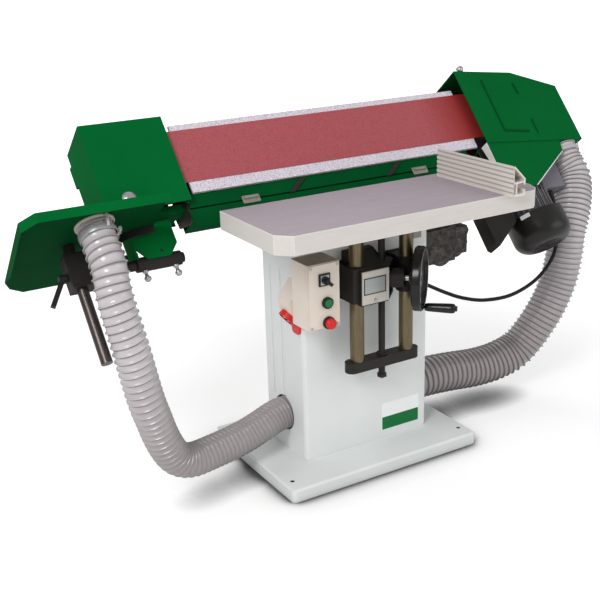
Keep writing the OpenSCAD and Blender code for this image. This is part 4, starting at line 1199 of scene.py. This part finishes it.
@dataclass
class DustHoses(Assembly):
    """Both dust hoses with their clamps."""

    sleeve: float = 0.12
    clamp_at: float = 0.024
    still_top: float = 0.034
    still_pipe: float = 0.08
    still_neck: float = 0.16
    still_right: float = 0.1
    left_tail: float = 0.05
    left_screw: Triple = (0.4, -0.5, -0.5)
    right_screw: Triple = (0.6, 0.6, 0)
    left_port: Pair = (-686, 18)
    left_drop: tuple[float, ...] = (-10, -70, -118)
    left_hang: tuple[Triple, ...] = (
        (-689, -99, 637), (-687, -116, 588), (-671, -131, 489), (-646, -130, 360), (-625, -120, 291),
        (-600, -106, 220), (-565, -88, 157), (-519, -74, 126), (-452, -54, 118), (-350, -28, 118),
        (-280, -11, 127), (-236, 1, 135), (-203, 7, 139), (-178, 8, 140), (-148, 8, 140))
    right_port: Pair = (880, -88)
    right_drop: tuple[float, ...] = (36, -20, -72)
    right_hang: tuple[Triple, ...] = (
        (846, -9, 575), (808, -33, 500), (790, -42, 428), (766, -45, 344), (716, -40, 250), (640, -22, 153),
        (565, -10, 121), (480, -3, 114), (390, 0, 122), (319, 0, 128), (265, 0, 130), (225, 0, 130),
        (173, 0, 130))
    to_pipe_wall: Vector = field(default_factory=lambda: Vector((0, 0, 0.028)))
    left: RibbedHose = field(init=False)
    right: RibbedHose = field(init=False)

    def __post_init__(self) -> None:
        """Lays out both routes."""
        def line(port: Pair, drop: Sequence[float], hang: Sequence[Point]) -> list[Vector]:
            """A hose's points: down from its port on the head, then hanging to the pedestal."""
            return [HEAD.at(port[0], w, port[1]) for w in drop] + [mm(*p) for p in hang]

        self.left = RibbedHose(line(self.left_port, self.left_drop, self.left_hang),
                               ribs=68, crowd=0.3, across=0.092, rib=0.0052)
        self.right = RibbedHose(line(self.right_port, self.right_drop, self.right_hang),
                                ribs=70, crowd=-0.16, across=0.120, rib=0.0064)

    def build(self) -> None:
        """Makes the hoses and their clamps."""
        self._build_left(self.left)
        self._build_right(self.right)

    def _build_left(self, hose: RibbedHose) -> None:
        """The left hose: a long run and two short sleeves, with its clamp on the contour table."""
        split, mid, end = self.sleeve, self.sleeve * 0.5, hose.route.length
        run, centres = hose.piece("left_hose_run", split, end)
        lower, _ = hose.piece("left_hose_neck", mid, split)
        upper, _ = hose.piece("left_hose_cuff", 0.0, mid)
        self.paint.coat(HOSE, run, lower, upper)
        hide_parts("left_hose")
        hose.route.at(end - self.still_pipe)
        hose.route.at(split + self.still_neck)
        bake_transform(run)
        hose.route.at(split)
        hose.route.at(mid)
        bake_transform(lower)
        hose.route.at(mid)
        hose.route.at(self.still_top)
        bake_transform(upper)
        clamp = hose_clamp("left_hose_clamp", hose.route, self.clamp_at, hose.across / 2,
                           Vector(self.left_screw), self.left_tail)
        self.fit(clamp, BAND_STEEL, Slot.BRIGHT, "contour_table")
        LOG.info("left hose %.3f m", end)

    def _build_right(self, hose: RibbedHose) -> None:
        """The right hose between stand and head, with its clamp on the head."""
        run, centres = hose.piece("right_hose_run", 0.0, hose.route.length)
        self.paint.coat(HOSE, run)
        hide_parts("right_hose")
        hose.route.at(hose.route.length - self.still_right)
        hose.route.at(self.still_right)
        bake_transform(run)
        clamp = hose_clamp("right_hose_clamp", hose.route, self.clamp_at, hose.across / 2,
                           Vector(self.right_screw))
        self.fit(clamp, BAND_STEEL, Slot.BRIGHT, "head")
        LOG.info("right hose %.3f m", hose.route.length)


@dataclass
class MotorCable(Assembly):
    """The black cable from the motor's terminal box to the pedestal, with a strain relief at each end."""

    across: float = 0.011
    sides: int = 16
    rings: int = 140
    steps: int = 8
    relief: float = 0.042
    relief_ribs: int = 5
    relief_gap: float = 0.0005
    relief_sunk: float = 0.008
    still: Pair = (0.1, 0.05)
    box_end: tuple[Triple, ...] = ((757, -104.7, -78), (757, -134, -78))
    hang: tuple[Triple, ...] = (
        (753, -44, 543), (740, -58, 480), (715, -64, 430), (650, -70, 382), (560, -66, 352), (470, -52, 350),
        (400, -35, 366), (345, -15, 390), (290, 5, 420), (250, 17, 437), (233, 20, 440), (207, 20, 440))

    def build(self) -> None:
        """Makes the cable and a strain relief at each end."""
        points = [HEAD.at(*p) for p in self.box_end] + [mm(*p) for p in self.hang]
        route, count = Route(points, self.steps), self.rings
        places = [route.length * i / (count - 1) for i in range(count)]
        rings = [p for s in places for p in route.ring(s, lambda t: self.across / 2, self.sides)]
        faces = grid_faces(count, self.sides) + end_faces(count, self.sides)
        run = add_mesh("motor_cable_run", rings, faces, 60.0)
        self.paint.coat(CABLE, run)
        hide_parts("motor_cable")
        route.at(route.length - self.still[0])
        route.at(self.still[1])
        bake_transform(run)
        [route.at(s) for s in places]
        self.fit(self._relief("motor_end_relief", route, self.relief_gap, 1), BLACK_PLASTIC, Slot.PLASTIC,
                 "head")
        self.fit(self._relief("stand_end_relief", route, route.length - self.relief_sunk, -1), BLACK_PLASTIC,
                 Slot.PLASTIC, "stand")
        LOG.info("motor cable %.3f m", route.length)

    def _relief(self, name: str, route: Route, base: float, way: int) -> Mesh:
        """A ribbed sleeve that tapers away from the housing.

        Args:
            name: the object's name.
            route: the cable's route.
            base: where it meets the housing.
            way: 1 when it runs with the route, -1 when against it.

        Returns:
            The object.
        """
        bore = self.across / 2 + 0.0003
        outline = [(0.0, bore), (0.0, 0.0105), (0.006, 0.0105), (0.0065, 0.0085)]
        for k in range(self.relief_ribs):
            start, radius = 0.009 + 0.006 * k, 0.0085 - 0.0004 * k
            outline += [(start, radius), (start + 0.0034, radius - 0.0002), (start + 0.0038, radius - 0.0012),
                        (start + 0.0056, radius - 0.0013)]
        outline += [(self.relief, 0.0063), (self.relief, bore)]
        profile = [(base + way * s, r) for s, r in outline]
        return sleeve(name, route, profile if way > 0 else profile[::-1])


# Stand and control box


@dataclass
class Stand(Assembly):
    """Base, pedestal and tilt casting."""

    nodes: ClassVar[Nodes] = {
        GREY_PAINT: ["base_plate", "pedestal"], ZINC: ["dust_tee"], SCREW: ["stand_fasteners"],
        CAST: ["bearing_block", "tilt_casting"], BLACK_PLASTIC: ["tilt_lever"]}
    front: float = -104.0
    label: tuple[float, float, float, float] = (59, 187, 58, 141)
    label_split: float = 98.0
    tag: tuple[float, float, float, float] = (160, 191, 605, 625)
    anchors: Pair = (277, 176)
    hole: float = 5.9
    hole_top: float = 34.5
    lumps: tuple[tuple[str, Point, Point, float], ...] = (("casting_body", (288, -9, 551), (66, 53, 50), 1.7),
                                                          ("casting_end", (368, -10, 551), (37, 43, 42), 5.2))
    lump_roughness: float = 5.0

    def build(self) -> None:
        """Adds the bare label and tag, black cups in the anchor holes as painted shade, and the rough skin of
        the casting.
        """
        x0, x1, z0, z1 = self.label
        wall = facing_front(0, self.front, 0)
        self.fit(slab("label_plate", oblong(x0, x1, z0, z1, 2), 0.05, 1.0, wall, 0.3), LABEL_WHITE,
                 Slot.PLATE, "stand")
        self.fit(slab("label_field", oblong(x0 + 1.5, x1 - 1.5, z0 + 1.5, self.label_split, 1), 0.9, 1.2,
                      wall, 0.1), LABEL_GREEN, Slot.GREEN, "stand")
        self.fit(slab("tag_plate", oblong(*self.tag, 1.5), 0.05, 1.0, wall, 0.3), TAG, Slot.PLATE, "stand")
        # Black cups in the anchor holes paint the shade inside them.
        r, top = self.hole, self.hole_top
        cup = [(r - 0.6, top), (r - 0.6, 6), (1, 6), (1, 5), (r, 5), (r, top), (r - 0.6, top)]
        for i, (x, y) in enumerate(four_corners(*self.anchors), 1):
            hole_shade_cup = lathe(f"anchor_hole_shade_{i}", cup, moved(x, y, 0), 24)
            self.fit(hole_shade_cup, BLACK_PLASTIC, Slot.PLASTIC, "stand")
        for name, centre, half, seed in self.lumps:
            self.fit(lumpy(name, centre, half, self.lump_roughness, seed), CAST, Slot.IRON, "stand")


@dataclass
class ControlBox(Assembly):
    """Switch box with selector, buttons and mains inlet."""

    nodes: ClassVar[Nodes] = {
        BEIGE: ["control_box", "box_lid", "inlet_housing"], RED: ["inlet_collar", "stop_button"],
        BLACK_PLASTIC: ["switch_bezels", "selector"], PUSH_GREEN: ["start_button"]}
    face: float = -190.0
    selector: Pair = (-174, 578)
    start: Pair = (-167, 516)
    stop: Pair = (-164, 462)
    inlet: Triple = (-210.1, -72.7, 454.9)
    inlet_turn: float = -128.5
    lid: Triple = (-192, -77, 418)
    pins: int = 5
    pin_ring: float = 11.5

    def build(self) -> None:
        """Adds the selector's plate, the domes of the buttons and the pins and lid of the inlet."""
        x, z = self.selector
        plate = slab("selector_plate", oblong(-12, 13, -13, 12, 1.5), 0.02, 0.34,
                     facing_front(x, self.face - 4, z), 0.1)
        self.fit(plate, SILVER, Slot.PLATE, "stand")
        dome = [(10.8, 0.0), (10.8, 0.6), (10.0, 1.4), (8.0, 2.0), (5.0, 2.4), (2.0, 2.55)]
        x, z = self.start
        self.fit(lathe("start_dome", dome, facing_front(x, self.face - 9.6, z)), PUSH_GREEN, Slot.GREEN_LENS,
                 "start_button")
        dome = [(13.5, -9.0), (13.9, -6.0), (13.9, -2.0), (13.2, 0.0), (11.6, 1.6), (9.0, 2.8), (5.5, 3.5),
                (2.0, 3.8)]
        x, z = self.stop
        self.fit(lathe("stop_dome", dome, facing_front(x, self.face - 18.6, z)), RED, Slot.RED, "stop_button")
        self._inlet_pins()
        side = moved(*self.lid) @ Matrix(((0, 0, -1), (-1, 0, 0), (0, 1, 0))).to_4x4()
        self.fit(slab("inlet_lid", oblong(-20, 20, -17, 19, 13), -1.8, 4.0, side, 1.5), RED, Slot.RED,
                 "stand")

    def _inlet_pins(self) -> None:
        """Pins on a black plug inside the inlet's collar."""
        place = moved(*self.inlet) @ Matrix.Rotation(math.radians(self.inlet_turn), 4, "Y")
        plug = [(20.6, 4.1), (20.6, 6.0), (19.4, 7.0), (17, 7.0), (16.5, 6.2), (3, 6.2)]
        self.fit(lathe("inlet_plug", plug, place), BLACK_PLASTIC, Slot.PLASTIC, "stand")
        for i in range(self.pins):
            turn = math.radians(90 + 360 * i / self.pins)
            spot = place @ moved(self.pin_ring * math.cos(turn), self.pin_ring * math.sin(turn), 0)
            pin = [(2.4, 6.0), (2.4, 11.8), (1.8, 12.8), (0.7, 13.2)]
            self.fit(lathe(f"inlet_pin_{i + 1}", pin, spot, 16), BRIGHT, Slot.BRIGHT, "stand")


# Lift table


@dataclass
class LiftTable(Assembly):
    """Table with its columns, lift and fence."""

    nodes: ClassVar[Nodes] = {
        TABLE: ["table_top"], COLUMN: ["columns"], PLATE: ["housing_plate"], BRASS: ["gear_nut"],
        BRIGHT: ["wheel_shaft"], BLACK_PAINT: ["lift_housing", "cross_bar", "lift_spindle"],
        BLACK_PLASTIC: ["fence_knob"], GLOSS_BLACK: ["handwheel", "crank_handle"],
        FENCE: ["fence", "fence_carrier"]}
    plate_face: float = -204.0
    window_box: tuple[float, float, float, float] = (-64, 4, 516, 561)
    border: float = 2.6
    spindle: Triple = (17.5, -165, 258)

    def build(self) -> None:
        """Adds the bare window of the housing plate and the tip of the spindle."""
        x0, x1, z0, z1 = self.window_box
        b, place = self.border, facing_front(0, self.plate_face, 0)
        self.fit(window("window_border", self.window_box, (x0 + b, x1 - b, z0 + b, z1 - b), 0.05, 0.7, place),
                 BLACK_PLASTIC, Slot.PLASTIC, "stand")
        self.fit(slab("window_plate", oblong(x0 + b, x1 - b, z0 + b, z1 - b, 0.8), 0.05, 0.5, place, 0.1),
                 SILVER, Slot.PLATE, "stand")
        tip = [(2.0, -5.0), (5.0, -4.2), (6.6, -2.0), (7.0, 0.3), (2.0, 0.4)]
        self.fit(lathe("spindle_tip", tip, moved(*self.spindle), 24), SCREW, Slot.STEEL, "lift_table")


# Belt head


@dataclass
class BeltHead(Assembly):
    """Belt, platen, hood, motor and idler cover."""

    nodes: ClassVar[Nodes] = {
        GREEN: ["hood", "idler_cover"], DEEP_GREEN_AND_SHADE: ["head_frame", "idler_arm"], PLATEN: ["platen"],
        BELT: ["abrasive_belt"], MOTOR: ["motor_body"], BOX_GREY: ["terminal_box"], FAN_BLACK: ["fan_cover"],
        CAST: ["drive_drum", "idler_drum"], BLACK_PAINT: ["brake_box", "end_plate"],
        BRIGHT: ["tilt_shaft", "motor_shaft", "idler_carriage", "idler_bearings", "hood_knob", "door_knob"],
        BLACK_PLASTIC: ["cooling_fan"]}
    hood_start: Pair = (518, 31)
    hood_end: Pair = (955, -46)
    motor: Pair = (653, -76.5)
    fan_rim: float = -179.0
    fan_end: float = -273.0
    fan_radius: float = 88.0
    fan_round: float = 40.0
    fan_ring: float = 2.2
    vents: tuple[float, ...] = (14, 22, 30, 38)
    fan_screws: tuple[float, ...] = (123.0, 243.0, 3.0)
    tag_turn: float = 147.0
    clips: tuple[float, ...] = (-256, 281)
    stays: tuple[float, ...] = (-112, 197)
    ridge_size: Pair = (9.0, 3.4)
    lid_place: Triple = (804, -58, -78.5)
    lid_screws: Pair = (38, 19)

    def build(self) -> None:
        """Adds the small parts under the belt, on the hood and on the motor."""
        self._under_belt()
        self._hood()
        self._fan_cover()
        self._motor_tag()
        self._terminal_lid()

    def _under_belt(self) -> None:
        """Two spring clips and two dark stays on the apron, and the rubber flap at the belt's end."""
        for i, u in enumerate(self.clips):
            place = HEAD.frame((u, 8, -10))
            plate = slab(f"apron_clip_{i + 1}", oblong(-25, 25, -13, 9, 3), 0.1, 2.4, place, 0.5)
            self.fit(plate, CLIP, Slot.PLATE, "head")
            roll = HEAD.frame((u - 20, 10, -6.4), (0, 1, 0), (0, 0, 1))
            barrel = [(1.2, 0), (3.6, 0), (4.2, 1), (4.2, 17), (3.4, 18), (3.4, 22), (4.2, 23), (4.2, 39),
                      (3.6, 40), (1.2, 40)]
            self.fit(lathe(f"apron_clip_roll_{i + 1}", barrel, roll, 20), CLIP, Slot.PLATE, "head")
        for i, u in enumerate(self.stays):
            place = HEAD.frame((u, 0, -10))
            stay = slab(f"apron_stay_{i + 1}", [(-33, 4), (-15, 4), (33, 40), (13, 40)], 0.1, 5.0, place, 1.0)
            self.fit(stay, BLACK_PAINT, Slot.BLACK, "head")
        flap = slab("belt_flap", [(506, -8), (556, -8), (556, 72), (506, 72)], -12.0, -9.0,
                    HEAD.frame((0, 0, 0)), 0.6)
        self.fit(flap, BLACK_PLASTIC, Slot.PLASTIC, "head")

    def _hood(self) -> None:
        """Pressed ridges on the hood, in darker green as painted shade along them, and the bare edges of its
        lower panel.
        """
        (u0, n0), (u1, n1) = self.hood_start, self.hood_end
        long = math.hypot(u1 - u0, n1 - n0)
        place = HEAD.frame((u0, 0, n0), (u1 - u0, 0, n1 - n0))

        def on(u: float, w: float) -> Pair:
            """A place on the hood's face for a place along the belt."""
            return (u - u0) * long / (u1 - u0), w

        lines = {"hood_ridge_long": [on(617, 253), on(616, 78), on(722, 73)],
                 "hood_ridge_top": [on(754, 246), on(756, 209)],
                 "hood_ridge_low": [on(760, 112), on(760, 68)]}
        # The ridges take the darker green as painted shade.
        for name, line in lines.items():
            self.fit(ridge(name, line, *self.ridge_size, place), DEEP_GREEN_AND_SHADE, Slot.GREEN, "head")
        low = place @ moved(0, 0, -2.9)
        self.fit(ridge("hood_panel_edge", [on(834, -1), on(646, -110.5)], 3.4, 1.4, low), EDGE_TRIM,
                 Slot.PLATE, "head")
        flange = slab("hood_panel_flange", [(40, 27), (-66, 27), (-62, 14), (40, -2)], -1.2, 0.2,
                      HEAD.frame((u0, 0, 0), (0, 1, 0), (0, 0, 1)), 0.3)
        self.fit(flange, EDGE_TRIM, Slot.PLATE, "head")

    def _fan_cover(self) -> None:
        """The motor's round fan cover, with rings in its end and three screws."""
        r, rim, end, bend, deep = self.fan_radius, self.fan_rim, self.fan_end, self.fan_round, self.fan_ring
        place = HEAD.frame((self.motor[0], 0, self.motor[1]), (1, 0, 0), (0, 0, -1))
        profile: list[Pair] = [(4, end + deep)]
        for ring in self.vents:
            profile += [(ring - 3.4, end + deep), (ring - 3.0, end), (ring + 1.0, end),
                        (ring + 1.4, end + deep)]
        profile += [(43, end + deep), (43.4, end)]
        profile += [(r - bend + bend * math.sin(a), end + bend - bend * math.cos(a))
                    for a in (math.radians(10 * k) for k in range(10))]
        profile += [(r, rim - 2), (r - 0.7, rim - 0.5), (r - 2, rim), (70, rim), (70, rim - 3),
                    (r - 4, rim - 3)]
        cover = lathe("fan_cover_shell", profile, place, 72, 30.0)
        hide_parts("fan_cover")
        self.fit(cover, FAN_BLACK, Slot.PLASTIC, "head")
        for i, turn in enumerate(self.fan_screws):
            a = math.radians(turn)
            spot = (self.motor[0] + (r - 0.4) * math.cos(a), rim - 9, self.motor[1] + (r - 0.4) * math.sin(a))
            screw = HEAD.frame(spot, (0, 1, 0), (math.sin(a), 0, -math.cos(a)))
            head = [(4.6, 0), (4.6, 1.6), (4.0, 2.4), (2.6, 2.8), (0.9, 2.9)]
            self.fit(lathe(f"fan_cover_screw_{i + 1}", head, screw, 20), SCREW, Slot.STEEL, "head")

    def _motor_tag(self) -> None:
        """The bare rating plate at the motor's fan end."""
        a, r = math.radians(self.tag_turn), self.fan_radius
        spot = (self.motor[0] + r * math.cos(a), self.fan_rim - 8, self.motor[1] + r * math.sin(a))
        place = HEAD.frame(spot, (math.sin(a), 0, -math.cos(a)), (0, 1, 0))
        outline = oblong(-15, 15, -6, 6, 1.5)
        self.fit(slab("motor_tag", outline, -1.0, 0.9, place, 0.2), LABEL_WHITE, Slot.PLATE, "head")

    def _terminal_lid(self) -> None:
        """Lid and screws of the terminal box."""
        place = HEAD.frame(self.lid_place, (0, 1, 0), (0, 0, 1))
        self.fit(slab("terminal_lid", oblong(-44, 44, -25, 25, 4), 0.05, 5.0, place, 1.2), BOX_GREY,
                 Slot.PLATE, "head")
        head = [(3.4, 4.8), (3.4, 6.2), (2.6, 6.9), (0.8, 7.1)]
        for i, (x, y) in enumerate(four_corners(*self.lid_screws), 1):
            self.fit(lathe(f"terminal_screw_{i}", head, place @ moved(x, y, 0), 18), SCREW, Slot.STEEL,
                     "head")


@dataclass
class ContourTable(Assembly):
    """The small table at the idler end with its bracket, bar and post."""

    nodes: ClassVar[Nodes] = {
        PAINTED_SHADE_GREEN: ["contour_top"], GREEN: ["contour_bracket"], CREAM: ["contour_port"],
        BLACK_PAINT: ["contour_bar", "clamp_block"], BLACK_PLASTIC: ["clamp_lever"], POST: ["contour_post"],
        BRIGHT: ["thumb_screw_a", "thumb_screw_b"]}
    bolt: Pair = (-517, -68)
    bracket_face: float = -58.0
    holder: Pair = (-584, -466)
    bar: Pair = (-86, -82)
    notch: Pair = (-545, -125)
    notch_radius: float = 80.0
    cap: Triple = (-535, -13, 0)

    def build(self) -> None:
        """Adds the bar's black holder, a black strip under the notch's edge as painted shade, and the
        bracket's two screws.
        """
        self._holder()
        self._notch_shade_strip()
        u, w = self.bolt
        place = HEAD.frame((u, w, self.bracket_face))
        cup = [(1.2, -4.0), (3.7, -4.0), (3.7, -0.6), (2.4, -0.6), (2.2, -2.6), (1.2, -2.8)]
        self.fit(lathe("bracket_set_screw", cup, place, 20), BLACK_PLASTIC, Slot.PLASTIC, "head")
        head = [(8.6, -49.9), (8.6, -49.0), (7.8, -48.4), (4.6, -48.3), (4.2, -49.2), (1.2, -49.3)]
        self.fit(lathe("bracket_cap_screw", head, HEAD.frame(self.cap), 24), BRIGHT, Slot.STEEL, "head")

    def _holder(self) -> None:
        """The black sleeve that holds the bar under the bracket."""
        long = self.holder[1] - self.holder[0]
        place = HEAD.frame((self.holder[0], *self.bar), (0, 1, 0), (0, 0, 1))
        outline = [(13.5, -0.5), (17.4, -0.5), (18.5, 0.6), (18.5, long - 0.6), (17.4, long + 0.5),
                   (13.5, long + 0.5), (13.5, long + 0.1), (18.1, long + 0.1), (18.1, -0.1), (13.5, -0.1),
                   (13.5, -0.5)]
        self.fit(lathe("bar_holder", outline, place), BLACK_PAINT, Slot.BLACK, "head")

    def _notch_shade_strip(self) -> None:
        """A thin rim under the edge of the table's notch, black to paint the shade there."""
        r, thick, out = self.notch_radius, 2.0, 24.0
        turns = [math.radians(90 + 6 * k) for k in range(31)]
        outer = [((r + thick) * math.cos(a), (r + thick) * math.sin(a)) for a in turns]
        inner = [(r * math.cos(a), r * math.sin(a)) for a in reversed(turns)]
        outline = [(out, r + thick), *outer, (out, -r - thick), (out, -r), *inner, (out, r)]
        place = HEAD.frame((self.notch[0], 0, self.notch[1]), (1, 0, 0), (0, 0, 1))
        self.fit(slab("notch_shade_strip", outline, 4.1, 24.0, place, 0.4), BLACK_PLASTIC, Slot.PLASTIC,
                 "contour_table")


def main() -> None:
    """Builds the studio, the soft parts and the sub-assemblies in order."""
    logging.basicConfig(level=logging.INFO, format="%(message)s")
    paint = Paintshop()
    Studio().build()
    for kind in (DustHoses, MotorCable, Stand, ControlBox, LiftTable, BeltHead, ContourTable):
        part = kind(paint)
        part.build()
        part.dress()


if __name__ == "__main__":
    main()
